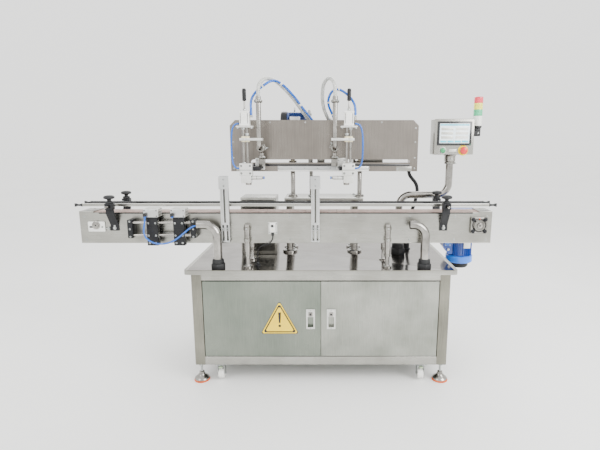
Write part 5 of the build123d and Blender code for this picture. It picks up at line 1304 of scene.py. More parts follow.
# ---- filling unit --------------------------------------------------------------------------------
@dataclass
class UpperFrame:
    """Trim and fixings of the slotted panel, and the pump behind it."""

    front: float = -45.0
    pump_y: float = 142.0
    pump_z: float = 1285.0

    def build(self, nodes: dict[str, bpy.types.Object]) -> None:
        """Dresses the panel and builds its trim, the pump and its motor."""
        dress(nodes["front_panel"], PANEL_STEEL)
        self.trim()
        self.pump()
        self.motor()
        self.screw()
        self.crosshead()

    def trim(self) -> None:
        """Black guide strip in the slot, hemmed edges, screws, bushes and the cable gland."""
        shape = Shape(BLACK_GLOSS)
        y = self.front
        shape.block((-191, y - 0.9, 1057.4), (631, y + 3.2, 1068), None, 1.2)
        shape.block((-190, y + 3.6, 1068), (630, y + 12, 1075.8), BLACK_METAL, 0.8)
        shape.block((-54, y - 1.4, 1031.6), (418, y + 0.2, 1036.5), WHITE_METAL, 0.8)
        shape.block((-54, y - 0.7, 1036.5), (418, y + 0.2, 1057), ALUMINIUM, 0.4)
        for x in range(-50, 420, 67):
            screw_head(shape, (x, y - 0.7, 1047), (0, -1, 0), 2.6)
        for x in (-280, 654):
            for z in (1046, 1100, 1180, 1250):
                screw_head(shape, (x, y, z), (0, -1, 0), 3.2)
        for x in (-90, 90, 300, 480):
            screw_head(shape, (x, y, 1279), (0, -1, 0), 3.0)
        shape.block((-268, y - 1.1, 1031.5), (-196, y + 0.1, 1056), CROSS_STEEL, 0.5)
        shape.block((560, y - 1.1, 1031.5), (640, y + 0.1, 1056), CROSS_STEEL, 0.5)
        for x in (-260, -204, 568, 632):
            screw_head(shape, (x, y - 1.1, 1044), (0, -1, 0), 2.4)
        for x in (18.0, 380.0):
            shape.lathe([(12.8, 1080), (21, 1080), (21, 1082), (16, 1083), (12.8, 1083)], (x, 55, 0), NYLON)
        shape.lathe([(7, 1040), (15, 1040), (16, 1036), (14, 1032), (10.5, 1031.5), (7, 1031.5)],
                    (646, 60, 0), BLACK_PLASTIC)
        shape.piece("panel_trim_and_screws", "upper_frame", [], "brushed_stainless")

    def pump(self) -> None:
        """Screw frame plates, product cylinders with end caps and rings, and the valve block with its ports.
        """
        shape = Shape(BRIGHT_STEEL)
        y, z = self.pump_y, self.pump_z
        for x in (101.0, 345.0):
            shape.block((x, y - 64, 1052), (x + 12, y + 64, z + 64), CROSS_STEEL, 2.5, 3)
            shape.lathe([(10.2, 12), (26, 12), (28, 13.5), (28, 18), (24, 20), (10.2, 20)], (x, y, z), None,
                        (1, 0, 0))
            for dy in (-50, 50):
                for height in (1075, z + 45):
                    hex_bolt(shape, (x + 12, y + dy, height), (1, 0, 0), 6)
        for cylinder_y in (108.0, 184.0):
            centre = Vector((0, cylinder_y, 1165))
            shape.rod(centre + Vector((372, 0, 0)), centre + Vector((532, 0, 0)), 33.5, None, 0.5, 40)
            for x0, x1 in ((357, 373), (531, 547)):
                shape.lathe([(6.2, x0), (33, x0), (35, x0 + 2), (35, x1 - 2), (33, x1), (0, x1)], centre,
                            TURNED_STEEL,
                            (1, 0, 0), 40)
            for x in (373, 529):
                shape.ring(centre + Vector((x, 0, 0)), (1, 0, 0), 34.2, 1.8, ZINC, 36)
        shape.block((397, 78, 1052), (507, 214, 1129), CROSS_STEEL, 2)
        for cylinder_y in (108, 184):
            shape.block((417, cylinder_y - 12, 1128), (487, cylinder_y + 12, 1133.5), BLACK_PLASTIC, 0.8)
        shape.block((90, -2, 1150), (250, 42, 1215), TURNED_STEEL, 3, 3)
        shape.block((150, 30, 1052), (190, 42, 1151), CROSS_STEEL, 1.5)
        for x in (120, 220):
            shape.lathe([(0, 1214), (17, 1214), (17, 1222), (13, 1224), (13, 1236), (11, 1240), (0, 1240)],
                        (x, 20, 0))
            screw_head(shape, (x, -2, 1180), (0, -1, 0), 6)
        for x in (148, 241):
            shape.lathe([(0, 1214), (7.6, 1214), (8, 1216), (8, 1226), (6.6, 1228), (6.6, 1240), (0, 1240)],
                        (x, 6, 0), ZINC)
        for x in (105, 170, 195):
            screw_head(shape, (x, -2, 1204), (0, -1, 0), 3)
        shape.piece("piston_pump_frame", "upper_frame", ["pump_unit"], "polished_stainless")

    def motor(self) -> None:
        """Ribbed pump motor with terminal box and lifting eye."""
        y, z = self.pump_y, self.pump_z
        shape = Shape(BLUE_PAINT)
        MotorBody(Vector((101, y, z)), Vector((-1, 0, 0)), 150.0, 60.0, 59.0, 34.0, 12.0, BLUE_PAINT,
                  BLUE_PAINT).add_to(shape)
        shape.block((1, y - 75, z - 25), (61, y - 44, z + 30), None, 4, 3)
        shape.block((4, y - 76, z - 22), (58, y - 74, z + 27), CAST_ALUMINIUM, 0.6)
        shape.rod((26, y, z + 46), (26, y, z + 58), 7, ZINC, 1, 16)
        shape.ring((26, y, z + 68), (1, 0, 0), 10.5, 3.4, ZINC, 24)
        shape.piece("ribbed_pump_motor", "upper_frame", ["pump_motor"], "blue_paint")

    def screw(self) -> None:
        """Ball screw with rolled grooves and a coupling."""
        shape = Shape(TURNED_STEEL)
        grooves = [(0, 103)] + [(9.9 - 1.1 * ((k // 2) % 2), 121 + k * 2.4) for k in range(92)] + [(9.9, 354),
                                                                                                   (0, 356)]
        shape.lathe(grooves, (0, self.pump_y, self.pump_z), None, (1, 0, 0), 24)
        shape.lathe([(0, 114), (15, 114), (16, 115), (16, 120), (15, 121), (0, 121)],
                    (0, self.pump_y, self.pump_z), ZINC,
                    (1, 0, 0))
        shape.piece("grooved_ball_screw", "pump_ball_screw", ["pump_ball_screw"], "polished_stainless")

    def crosshead(self) -> None:
        """Crosshead plate with its nut, rod nuts, piston rods and sealed pistons."""
        shape = Shape(CROSS_STEEL)
        shape.block((205, 94, 1151), (225, 198, self.pump_z - 17), None, 2.5, 3)
        for a, b in ((94, 131.9), (152.1, 198)):
            shape.block((205, a, self.pump_z - 19), (225, b, self.pump_z + 22), None, 2.5, 3)
        shape.lathe([(10.2, -3), (24, -3), (25, 0), (25, 20), (24, 23), (10.2, 23)],
                    (205, self.pump_y, self.pump_z),
                    TURNED_STEEL, (1, 0, 0))
        for y in (108.0, 184.0):
            shape.rod((224, y, 1165), (366, y, 1165), 5.95, BRIGHT_STEEL, 0.4, 20)
            shape.rod((225, y, 1165), (233, y, 1165), 9.5, ZINC, 0.8, 6)
            shape.lathe([(0, 365), (27.6, 365), (27.9, 366), (27.9, 371), (26, 372), (26, 375), (27.9, 376),
                         (27.9, 388),
                         (0, 389)], (0, y, 1165), NYLON, (1, 0, 0))
        shape.piece("crosshead_and_pistons", "pump_pistons", ["pump_pistons"], "polished_stainless")


@dataclass
class FillingHead:
    """One head: nozzle block, guide rod, stem, plates, valve cylinder, grip and product tube."""

    side: Side
    x: float
    arm: float
    y: float = -190.0

    @property
    def toward(self) -> int:
        """Direction of the machine's middle from this head."""
        return -self.side.value

    def build(self, nodes: dict[str, bpy.types.Object]) -> None:
        """Builds the head's four pieces."""
        self.body()
        self.stem()
        self.grip()
        self.product_tube()

    def body(self) -> None:
        """Pale nozzle block on its arm, guide rod, bush plate, flange plate and white cylinder."""
        x, y, way = self.x, self.y, self.toward
        shape = Shape(PALE_BLOCK)
        shape.block((x - 30, y - 22, 1020), (x + 30, y + 22, 1080), None, 2, 3)
        shape.block((x - 24, y - 20, 985), (x + 24, y + 20, 1021), None, 2, 3)
        for dx in (-21, 21):
            for z in (1032, 1068):
                # Black discs under the four screw heads: painted shade of their counterbores.
                shape.rod((x + dx, y - 22.3, z), (x + dx, y - 21, z), 5.0, BLACK_METAL, 0.2, 24)
                shape.rod((x + dx, y - 22.5, z), (x + dx, y - 22, z), 2.6, ZINC, 0.1, 6)
        shape.block((x - 29, y - 22.2, 1047), (x + 29, y - 21.5, 1049), BLACK_METAL, 0.2)
        shape.lathe([(10, 975), (13, 975), (14.5, 977), (15, 983), (17, 986), (0, 986)], (x + way * 9, y, 0),
                    BRIGHT_STEEL)
        shape.rod((x - way * 9, y, 1079), (x - way * 9, y, 1250), 5.95, BRIGHT_STEEL, 0, 24)
        shape.rod((x - way * 9, y, 1078), (x - way * 9, y, 1085), 9, ZINC, 0.8, 6)
        self.plates(shape)
        self.cylinder(shape)
        self.bracket(shape)
        for a, b, r, finish in ((23, 30, 10, ZINC), (30, 76, 9, CAST_ALUMINIUM), (50, 52, 9.6, BLACK_METAL),
                                (75, 84, 6, TURNED_STEEL), (83, 89, 6.8, CYAN_HOSE)):
            shape.rod((x + way * a, y - 4, 1010), (x + way * b, y - 4, 1010), r, finish, 0.8, 24)
        shape.piece(f"filling_head_{self.side.word}", f"head_{self.side.word}",
                    [f"head_body_{self.side.word}"],
                    "white_anodised")

    def plates(self, shape: Shape) -> None:
        """Bush plate with nylon bushes, and the flange plate under the cylinder."""
        x, y, way = self.x, self.y, self.toward
        tube = x + way * 66
        for a, b in ((x - way * 26, x + way * 2.9), (x + way * 15.2, tube - way * 12.6),
                     (tube + way * 12.6, tube + way * 18)):
            low, high = sorted((a, b))
            shape.block((low, y - 20, 1188), (high, y + 20, 1200), CAST_ALUMINIUM, 1.2)
        for a, b in ((y - 20, y - 12.6), (y + 12.6, y + 20)):
            low, high = sorted((x + way * 2, tube + way * 17))
            inset = 0.3 if a < y else -0.3
            shape.block((low, a + inset, 1188.4), (high, b + inset, 1199.6), CAST_ALUMINIUM, 1.0)
        for dx in (-9, 9):
            shape.lathe([(6.15, 1182), (10, 1182), (11.5, 1184), (11.5, 1188), (11.5, 1204), (9.5, 1208),
                         (6.15, 1208)],
                        (x + way * dx, y, 0), NYLON, steps=24)
        shape.block((x - 40, y - 26, 1249), (x + 40, y + 26, 1257), CAST_ALUMINIUM, 1.5, 3)
        for dx in (-33, 33):
            for dy in (-19, 19):
                shape.rod((x + dx, y + dy, 1244.5), (x + dx, y + dy, 1249), 4.5, ZINC, 0.6, 6)
        shape.rod((x - way * 9, y, 1240), (x - way * 9, y, 1249), 9.5, ZINC, 0.8, 6)

    def cylinder(self, shape: Shape) -> None:
        """White square air cylinder with end caps, tie screws and two elbow fittings."""
        x, y = self.x, self.y
        shape.block((x - 23, y - 23, 1263), (x + 23, y + 23, 1321), WHITE_METAL, 3.5, 3)
        for z0, z1 in ((1257, 1266), (1318, 1327)):
            shape.block((x - 24, y - 24, z0), (x + 24, y + 24, z1), WHITE_METAL, 2.5, 3)
        for dx in (-17, 17):
            for dy in (-17, 17):
                shape.rod((x + dx, y + dy, 1326.6), (x + dx, y + dy, 1328.4), 3.4, ZINC, 0.4, 16)
            shape.block((x + dx - 1, y - 24.2, 1268), (x + dx + 1, y - 22.5, 1316), BLACK_PLASTIC, 0.2)
        shape.block((x + 23, y - 6, 1297), (x + 37.5, y + 6, 1308.5), ZINC, 1.5)
        shape.rod((x + 31, y, 1307), (x + 31, y, 1310), 6.9, CYAN_HOSE, 0.4, 20)
        out = self.side.value
        for z in (1268,):
            shape.rod((x + out * 23, y, z), (x + out * 30, y, z), 5.5, BLACK_PLASTIC, 0.8, 16)
        shape.lathe([(4.3, 1327), (9, 1327), (9, 1327.8), (4.3, 1327.8)], (x, y, 0), ZINC, steps=24)

    def bracket(self, shape: Shape) -> None:
        """Arm that hooks over the guide bar through the slot, with its clamp plate."""
        x, y, way = self.x, self.y, self.toward
        arm = x + way * self.arm
        rear = -20.0
        shape.block((arm - 14, -53, 1076.5), (arm + 14, rear + 8, 1091.5), CROSS_STEEL, 0.8)
        shape.block((arm - 14, rear + 0.5, 1056.2), (arm + 14, rear + 8, 1091.5), CROSS_STEEL, 0.8)
        shape.block((arm - 24, -61, 1040), (arm + 24, -45.5, 1100), CAST_ALUMINIUM, 2, 3)
        low, high = sorted((x, arm + way * 14))
        shape.block((low, y + 10, 1044), (high, -61, 1060), BLACK_METAL, 2)
        for dx in (-16, 16):
            for z in (1050, 1090):
                screw_head(shape, (arm + dx, -61, z), (0, -1, 0), 3.4)
        out = self.side.value
        shape.rod((x + out * 29.5, y, 1055), (x + out * 30.0, y, 1055), 6, BLACK_PLASTIC, 0, 16)

    def stem(self) -> None:
        """Polished shut-off stem with a cone tip and a collar."""
        x = self.x + self.toward * 9
        shape = Shape(BRIGHT_STEEL)
        shape.lathe([(0, 991), (3.5, 991), (5.95, 998), (5.95, 1288.5), (5, 1290), (0, 1290)], (x, self.y, 0),
                    steps=28)
        shape.lathe([(5.9, 1212), (9.5, 1212), (10, 1213), (10, 1221), (9.5, 1222), (5.9, 1222)],
                    (x, self.y, 0), ZINC,
                    steps=24)
        word = self.side.word
        shape.piece(f"shut_off_stem_{word}", f"valve_stem_{word}", [f"valve_stem_{word}"],
                    "polished_stainless")

    def grip(self) -> None:
        """Ribbed black grip on its thin rod with a lock nut."""
        x, y = self.x, self.y
        shape = Shape(BLACK_PLASTIC)
        ribs = [(0, 1373), (7, 1373), (9, 1375)]
        for k in range(8):
            z = 1378 + k * 6
            ribs += [(9.9, z), (9.9, z + 3.4), (8.8, z + 4.2), (8.8, z + 5.4)]
        ribs += [(8, 1428), (5, 1430), (0, 1430)]
        shape.lathe(ribs, (x, y, 0), steps=32)
        shape.rod((x, y, 1313.2), (x, y, 1374), 3.95, BRIGHT_STEEL, 0.4, 20)
        shape.rod((x, y, 1328.2), (x, y, 1334), 9, ZINC, 0.8, 6)
        shape.rod((x, y, 1334.2), (x, y, 1338), 7.6, ZINC, 0.5, 24)
        word = self.side.word
        shape.piece(f"stroke_grip_{word}", f"adjuster_{word}", [f"adjuster_{word}"], "black_plastic")

    def product_tube(self) -> None:
        """Sanitary tube with elbows, clamp rings, wing nuts and the riser's foot block."""
        x, y, riser = self.x + self.toward * 66, self.y, -95.0
        shape = Shape(BRIGHT_STEEL)
        shape.pipe([(x, y, 1393), (x, y, 1150), (x, riser, 1150), (x, riser, 1094)], 11.9, 32)
        way = Vector((self.toward, 0, 0))
        self.clamp(shape, Vector((x, y, 1372)), Vector((0, 0, 1)), Vector((0, -1, 0)))
        self.clamp(shape, Vector((x, y + 44, 1150)), Vector((0, 1, 0)),
                   (way + Vector((0, 0, 0.6))).normalized())
        self.clamp(shape, Vector((x, riser, 1106)), Vector((0, 0, 1)), Vector((0, -1, 0)))
        shape.lathe([(0, 1384), (13.5, 1384), (13.5, 1388), (12, 1390), (12, 1395), (0, 1395)], (x, y, 0),
                    TURNED_STEEL)
        shape.block((x - 16, riser - 16, 1060), (x + 16, riser + 16, 1098), TURNED_STEEL, 2.5, 3)
        word = self.side.word
        shape.piece(f"sanitary_tube_{word}", f"head_{word}", [f"product_tube_{word}"], "polished_stainless")

    def clamp(self, shape: Shape, at: Vector, along: Vector, out: Vector) -> None:
        """A hinged pipe clamp along a tube, with its bolt, wing nut and two lugs."""
        shape.lathe([(11.8, -8), (16, -8), (19.5, -5), (20, -3), (20, 3), (19.5, 5), (16, 8), (11.8, 8)], at,
                    TURNED_STEEL, along)
        across = along.cross(out)
        for side in (-1, 1):
            lug = at + out * 23 + across * (side * 4.5)
            shape.rod(lug - along * 5, lug + along * 5, 4.2, TURNED_STEEL, 1, 12)
        bolt = at + out * 24
        shape.rod(bolt - across * 10, bolt + across * 16, 2.2, ZINC, 0.3, 12)
        nut = bolt + across * 12
        shape.rod(nut - across * 3, nut + across * 4, 4, ZINC, 0.8, 14)
        for side in (-1, 1):
            shape.rod(nut + out * (side * 3), nut + out * (side * 9) + across * 5, 2.6, ZINC, 0.8, 12)


# ---- control box ---------------------------------------------------------------------------------
@dataclass
class ControlBox:
    """Swivelling box with screen and buttons, and the folding tower light."""

    light_x: float = 982.0
    light_z: float = 1225.0

    def build(self, nodes: dict[str, bpy.types.Object]) -> None:
        """Builds the box, buttons and light."""
        self.box()
        self.buttons()
        self.light()

    def box(self) -> None:
        """Folded box with a seamed back, bezel, screen, blank plates, socket and ears."""
        low, high = Vector((752, -45, 1116)), Vector((955, 45, 1297))
        shape = Shape(CROSS_STEEL)
        shape.block(low, high, None, 4, 4)
        shape.block((760, 44, 1124), (947, 45.0, 1289), SHEET_STEEL, 0.4)
        for x in (768, 939):
            for z in (1132, 1281):
                screw_head(shape, (x, 41.6, z), (0, 1, 0), 3.0)
        self.screen(shape)
        self.plates(shape)
        shape.lathe([(19.1, 1080), (27, 1080), (28, 1082), (28, 1104), (31, 1110), (34, 1116.5),
                     (19.1, 1116.5)],
                    (850, 5, 0), TURNED_STEEL)
        shape.rod((850, -23, 1092), (850, -33, 1092), 4.5, ZINC, 0.8, 6)
        shape.block((955, -22, 1205), (960, 22, 1240), BLACK_PLASTIC, 1)
        for a, b in ((-22, -16.2), (16.2, 22)):
            shape.block((958, a, 1210), (994, b, 1238), BLACK_PLASTIC, 2.2, 3)
        shape.rod((self.light_x, -22.4, self.light_z), (self.light_x, 22.4, self.light_z), 3.9, ZINC, 0.4, 18)
        shape.piece("folded_control_box", "hmi_box", ["hmi_box"], "box_stainless")

    def screen(self, shape: Shape) -> None:
        """Dark bezel with a lit screen: pale field, title bar, tiles and a cyan row at the bottom."""
        shape.block((765, -50, 1163), (941, -44, 1284), BLACK_GLOSS, 2.2, 3)
        shape.block((777, -50.6, 1175), (929, -49.5, 1273), SCREEN, 0.2)
        shape.block((779, -50.9, 1263), (927, -50.4, 1270), SCREEN_BAR, 0.1)
        for column in range(4):
            x = 781 + column * 37
            shape.block((x, -50.9, 1178), (x + 33, -50.4, 1188), SCREEN_BAR, 0.1)
        for row in range(3):
            z = 1197 + row * 21
            shape.block((784, -50.9, z), (846, -50.4, z + 14), PALE_PLATE, 0.1)
            shape.block((858, -50.9, z), (922, -50.4, z + 14), WHITE_PLASTIC, 0.1)
        shape.rod((935, -50.6, 1169), (935, -49.8, 1169), 1.8, GREEN_LENS, 0.2, 12)

    def plates(self, shape: Shape) -> None:
        """Blank label plates and bezels behind the buttons."""
        shape.lathe([(11.2, 0), (19, 0), (19, 1.2), (11.2, 1.2)], (797, -45, 1138), PALE_PLATE, (0, -1, 0))
        shape.lathe([(11.2, 0), (26, 0), (26.5, 0.6), (26, 1.4), (11.2, 1.4)], (902, -45, 1138), YELLOW_LABEL,
                    (0, -1, 0))
        for x in (797, 902):
            shape.ring((x, -46.4, 1138), (0, 1, 0), 15.2, 1.4, ZINC, 28)
        shape.block((829, -46, 1131), (869, -44.8, 1144), PALE_PLATE, 0.4)

    def buttons(self) -> None:
        """Flush green button and the red mushroom button."""
        green = Shape(GREEN_PLASTIC)
        green.rod((797, -27, 1138), (797, -52, 1138), 10.9, BLACK_PLASTIC, 0.4, 28)
        green.lathe([(0, 4.5), (9, 5), (12, 6.4), (13, 8), (13, 9), (11.5, 9.9), (0, 10)], (797, -45, 1138),
                    None, (0, -1, 0))
        green.piece("green_push_button", "start_button", ["start_button"], "green_plastic")
        red = Shape(RED_PLASTIC)
        red.rod((902, -29, 1138), (902, -58, 1138), 10.9, BLACK_PLASTIC, 0.4, 28)
        red.lathe([(0, 12), (16, 12), (18.6, 14), (19, 17), (17.5, 20.5), (13, 23), (6, 24), (0, 24)],
                  (902, -45, 1138), None,
                  (0, -1, 0))
        red.ring((902, -68.2, 1138), (0, 1, 0), 6, 0.6, WHITE_PLASTIC, 24)
        red.piece("red_mushroom_button", "stop_button", ["stop_button"], "red_plastic")

    def light(self) -> None:
        """Folding foot, white base and three ribbed lenses under a cap."""
        x = self.light_x
        shape = Shape(WHITE_PLASTIC)
        shape.block((x - 15, -15, 1229.2), (x + 15, 15, 1252), BLACK_PLASTIC, 3, 3)
        for a, b in ((x - 15, x - 4.2), (x + 4.2, x + 15)):
            shape.block((a, -15, 1212), (b, 15, 1231), BLACK_PLASTIC, 2)
        shape.block((x - 5, -15, 1212), (x + 5, 15, 1220.8), BLACK_PLASTIC, 0.8)
        shape.lathe([(0, 1250), (18, 1250), (22, 1254), (23, 1258), (23, 1263), (0, 1263)], (x, 0, 0),
                    BLACK_PLASTIC)
        shape.lathe([(0, 1263), (22.5, 1263), (22.5, 1311), (21.5, 1313), (0, 1313)], (x, 0, 0))
        for base, height, finish in ((1313.0, 32.0, GREEN_LENS), (1345.0, 32.0, YELLOW_LENS),
                                     (1377.0, 28.0, RED_LENS)):
            lens = [(0, base), (22.0, base)]
            for k in range(9):
                z = base + 2 + k * (height - 4) / 9
                lens += [(22.9, z), (22.3, z + (height - 4) / 18)]
            lens += [(22.0, base + height - 0.3), (0, base + height)]
            shape.lathe(lens, (x, 0, 0), finish, steps=40)
        shape.lathe([(0, 1404.5), (22.8, 1404.5), (22.8, 1406), (20, 1408.4), (12, 1409), (0, 1409)],
                    (x, 0, 0), RED_LENS)
        shape.piece("folding_tower_light", "tower_light", ["tower_light"], "tower_lenses")


# ---- hoses and cables ----------------------------------------------------------------------------
@dataclass
class Cord:
    """A free cord along given points in metres.

    Attributes:
        node: The CAD node that it replaces.
        points: Its route.
        diameter: Its real diameter in metres.
        finish: Its finish.
        body: The body that holds its start.
        slot: The record's material slot; not used.
        far_body: The body that holds its far end, if that is another.
        stiffness: limp, medium or stiff; not used.
        ribs: True on a corrugated conduit.
        ties: Where white tie bands sit, as shares of its length.
    """

    node: str
    points: list[tuple[float, float, float]]
    diameter: float
    finish: Finish
    body: str
    slot: str
    far_body: str | None = None
    stiffness: str = "medium"
    ribs: bool = False
    ties: tuple[float, ...] = ()

    def curve(self, name: str) -> bpy.types.Object:
        """The route as a NURBS curve."""
        data = bpy.data.curves.new(name, "CURVE")
        data.dimensions = "3D"
        data.resolution_u = 8
        spline = data.splines.new("NURBS")
        spline.points.add(len(self.points) - 1)
        for target, point in zip(spline.points, self.points):
            target.co = (*point, 1.0)
        spline.order_u = 3
        spline.use_endpoint_u = True
        obj = bpy.data.objects.new(name, data)
        bpy.context.scene.collection.objects.link(obj)
        return obj

    def line(self) -> list[Vector]:
        """Points read from the route's own smooth curve."""
        guide = self.curve(self.node + "_guide")
        graph = bpy.context.evaluated_depsgraph_get()
        mesh = bpy.data.meshes.new_from_object(guide.evaluated_get(graph))
        line = [v.co.copy() for v in mesh.vertices]
        bpy.data.objects.remove(guide)
        return line

    def build(self) -> bpy.types.Object:
        line = self.line()
        length = sum((b - a).length for a, b in zip(line, line[1:]))
        radius = self.diameter / 2 / MM
        shape = Shape(self.finish)

        def width(number: int) -> float:
            """Plain, or up and down in turn on a corrugated conduit."""
            return radius - (1.6 if self.ribs and number % 2 else 0.0)

        drawn = self._even(line, 2.4 * MM) if self.ribs else line
        shape.tube([p / MM for p in drawn], width, None, 18)
        for share in self.ties:
            start = round(share * (len(line) - 4))
            shape.tube([p / MM for p in line[start:start + 3]], lambda _: radius + 1.0, WHITE_PLASTIC, 18)
        obj = shape.mesh_object(self.node + "_line")
        if self.far_body:
            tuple(self.points[0])
            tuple(self.points[-1])
            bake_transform(obj)
        else:
            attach(obj, self.body)
        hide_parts(self.node)
        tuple(self.points[0])
        [tuple(p) for p in line]
        LOG.info("%s: %.0f mm", self.node, length / MM)
        return obj

    @staticmethod
    def _even(line: list[Vector], step: float) -> list[Vector]:
        """The same line with points at an even step."""
        even, left = [line[0]], step
        for a, b in zip(line, line[1:]):
            way = (b - a).length
            while left <= way:
                even.append(a.lerp(b, left / way))
                left += step
            left -= way
        even.append(line[-1])
        return even


LEFT_X, RIGHT_X = -0.127, 0.238
AIR_LEFT = [(-.217, -.190, 1.268), (-.233, -.190, 1.268), (-.247, -.190, 1.260), (-.255, -.190, 1.244),
            (-.260, -.190, 1.218), (-.262, -.189, 1.180), (-.262, -.190, 1.142), (-.261, -.190, 1.106),
            (-.257, -.190, 1.080), (-.250, -.190, 1.063), (-.238, -.190, 1.055), (-.223, -.190, 1.055)]
HEADS_MIDDLE = 0.0555


def cords() -> list[Cord]:
    """Every hose and cable with its route."""
    return [
        Cord("product_hose_left", [
            (LEFT_X, -.190, 1.395), (LEFT_X, -.190, 1.434), (-.115, -.178, 1.464), (-.091, -.154, 1.482),
            (-.058, -.122, 1.478), (-.026, -.092, 1.455), (.006, -.063, 1.424), (.036, -.036, 1.390),
            (.063, -.013, 1.352), (.088, .003, 1.317), (.108, .015, 1.292), (.120, .020, 1.268),
            (.120, .020, 1.240)],
            .018, CLEAR_HOSE, "head_left", "clear_hose", "upper_frame", "limp"),
        Cord("product_hose_right", [
            (RIGHT_X, -.190, 1.395), (RIGHT_X, -.190, 1.430), (.232, -.181, 1.461), (.217, -.158, 1.481),
            (.199, -.131, 1.481), (.184, -.108, 1.461), (.178, -.096, 1.429), (.177, -.087, 1.394),
            (.181, -.072, 1.361),
            (.189, -.049, 1.334), (.200, -.024, 1.312), (.211, .000, 1.292), (.220, .020, 1.268),
            (.220, .020, 1.240)],
            .018, CLEAR_HOSE, "head_right", "clear_hose", "upper_frame", "limp"),
        Cord("supply_tube_left", [
            (-.162, -.190, 1.310), (-.162, -.190, 1.334), (-.164, -.187, 1.362), (-.158, -.178, 1.390),
            (-.143, -.168, 1.414), (-.121, -.164, 1.434), (-.097, -.167, 1.450), (-.072, -.158, 1.468),
            (-.045, -.135, 1.473), (-.013, -.105, 1.455), (.019, -.076, 1.424), (.049, -.049, 1.390),
            (.076, -.026, 1.352), (.106, -.009, 1.318), (.128, -.001, 1.288), (.148, .006, 1.264),
            (.148, .006, 1.240)],
            .012, CYAN_HOSE, "head_left", "cyan_hose", "upper_frame", ties=(0.34, 0.55, 0.75)),
        Cord("supply_tube_right", [
            (.335, -.190, 1.310), (.335, -.190, 1.334), (.330, -.182, 1.360), (.316, -.168, 1.386),
            (.294, -.162, 1.408),
            (.270, -.163, 1.424), (.246, -.162, 1.430), (.225, -.150, 1.423), (.211, -.132, 1.402),
            (.205, -.110, 1.377),
            (.210, -.086, 1.353), (.221, -.063, 1.332), (.232, -.038, 1.310), (.241, -.014, 1.288),
            (.241, .006, 1.264),
            (.241, .006, 1.240)],
            .012, CYAN_HOSE, "head_right", "cyan_hose", "upper_frame", ties=(0.36, 0.62, 0.8)),
        Cord("air_hose_left", AIR_LEFT, .008, CYAN_HOSE, "head_left", "cyan_hose"),
        Cord("air_hose_right", [(2 * HEADS_MIDDLE - x, y, z) for x, y, z in AIR_LEFT], .008, CYAN_HOSE,
             "head_right", "cyan_hose"),
        Cord("gate_air_hose", [
            (-.655, -.318, .838), (-.655, -.318, .818), (-.660, -.322, .792), (-.661, -.328, .764),
            (-.651, -.333, .740),
            (-.630, -.335, .722), (-.602, -.335, .712), (-.567, -.334, .710), (-.530, -.332, .720),
            (-.497, -.328, .741),
            (-.469, -.320, .765), (-.446, -.309, .784), (-.425, -.303, .793), (-.402, -.301, .795)],
            .008, CYAN_HOSE, "gate_carriage_1", "cyan_hose", "machine"),
        Cord("sensor_cable", [
            (-.064, -.259, .734), (-.064, -.259, .718), (-.073, -.261, .702), (-.090, -.263, .692),
            (-.110, -.263, .688),
            (-.127, -.259, .679), (-.138, -.251, .662), (-.142, -.241, .641), (-.142, -.233, .618),
            (-.142, -.233, .596)],
            .005, RUBBER, "machine", "black_rubber"),
        Cord("head_conduit", [
            (.646, .060, 1.040), (.646, .060, 1.012), (.664, .063, .986), (.688, .066, .962),
            (.700, .070, .925),
            (.697, .077, .880), (.686, .086, .834), (.674, .096, .788), (.665, .106, .744),
            (.660, .114, .702),
            (.658, .119, .659), (.658, .119, .616)],
            .020, RUBBER, "upper_frame", "black_rubber", "machine", "medium", True),
    ]


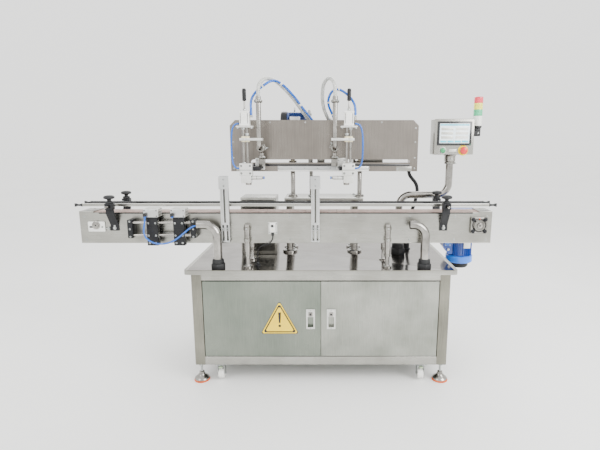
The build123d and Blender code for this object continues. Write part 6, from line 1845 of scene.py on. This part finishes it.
# ---- studio --------------------------------------------------------------------------------------
@dataclass
class Studio:
    """Pale floor, soft lights and the camera."""

    camera_place: tuple[float, float, float] = (0.175, -2.395, 1.191)
    pitch_deg: float = 10.7
    shift: float = -0.0365
    lens_mm: float = 27.0

    def build(self) -> None:
        """Makes the camera, world, lights and floor."""
        self.camera()
        self.world()
        self.floor()
        self.softbox("key", (2.7, -2.3, 2.4), (0.1, 0, 0.8), 2.2, 150)
        self.softbox("fill", (-2.2, -2.6, 2.8), (0.1, 0, 0.8), 1.8, 40)
        self.softbox("back", (0.4, 2.6, 3.0), (0.1, 0, 0.8), 2.4, 60)

    def camera(self) -> None:
        """Places the camera at the height and angle that the machine is seen from."""
        data = bpy.data.cameras.new("camera")
        data.lens = self.lens_mm
        data.sensor_width = 36.0
        obj = bpy.data.objects.new("camera", data)
        obj.location = self.camera_place
        obj.rotation_euler = (math.radians(90 - self.pitch_deg), 0, 0)
        data.shift_x = self.shift
        bpy.context.scene.collection.objects.link(obj)
        bpy.context.scene.camera = obj

    def world(self) -> None:
        """Even pale surroundings, a little darker low down, for the steel to reflect."""
        world = bpy.data.worlds.new("studio")
        bpy.context.scene.world = world
        world.use_nodes = True
        tree = world.node_tree
        back = tree.nodes["Background"]
        way = add(tree, "TexCoord", {}).outputs["Generated"]
        height = add(tree, "SeparateXYZ", {}, Vector=way).outputs["Z"]
        ramp = add(tree, "ValToRGB", {},
                   Fac=add(tree, "MapRange", {}, Value=height, From_Min=-0.6, From_Max=0.8).outputs[0])
        ramp.color_ramp.elements[0].color = linear("d4d5d1")
        ramp.color_ramp.elements[1].color = linear("ffffff")
        middle = ramp.color_ramp.elements.new(0.42)
        middle.color = linear("f4f4f2")
        tree.links.new(ramp.outputs[0], back.inputs["Color"])
        back.inputs["Strength"].default_value = 2.1

    def floor(self) -> None:
        """A wide pale floor."""
        shape = Shape(FLOOR)
        bmesh.ops.create_grid(shape.bm, x_segments=1, y_segments=1, size=30000.0)
        obj = shape.mesh_object("studio_floor")

    def softbox(self, name: str, place: Point, aim: Point, size: float, watts: float) -> None:
        """A square area light that looks at a point."""
        data = bpy.data.lights.new(name, "AREA")
        data.size = size
        data.energy = watts
        obj = bpy.data.objects.new(name, data)
        obj.location = place
        obj.rotation_euler = (Vector(aim) - Vector(place)).to_track_quat("-Z", "Y").to_euler()
        bpy.context.scene.collection.objects.link(obj)


def main() -> None:
    """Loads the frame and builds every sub-assembly round it."""
    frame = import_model()
    nodes = frame["nodes"]
    Studio().build()
    heads = [FillingHead(Side.LEFT, -193.0, 50.0), FillingHead(Side.RIGHT, 304.0, 30.0)]
    for part in (Cabinet(), Conveyor(), GuideRails(), GateUnit(), SensorPosts(), Pipework(), Lift(),
                 UpperFrame(), *heads,
                 ControlBox()):
        part.build(nodes)
        LOG.info("built %s", type(part).__name__)
    for cord in cords():
        cord.build()


if __name__ == "__main__":
    logging.basicConfig(level=logging.INFO)
    main()
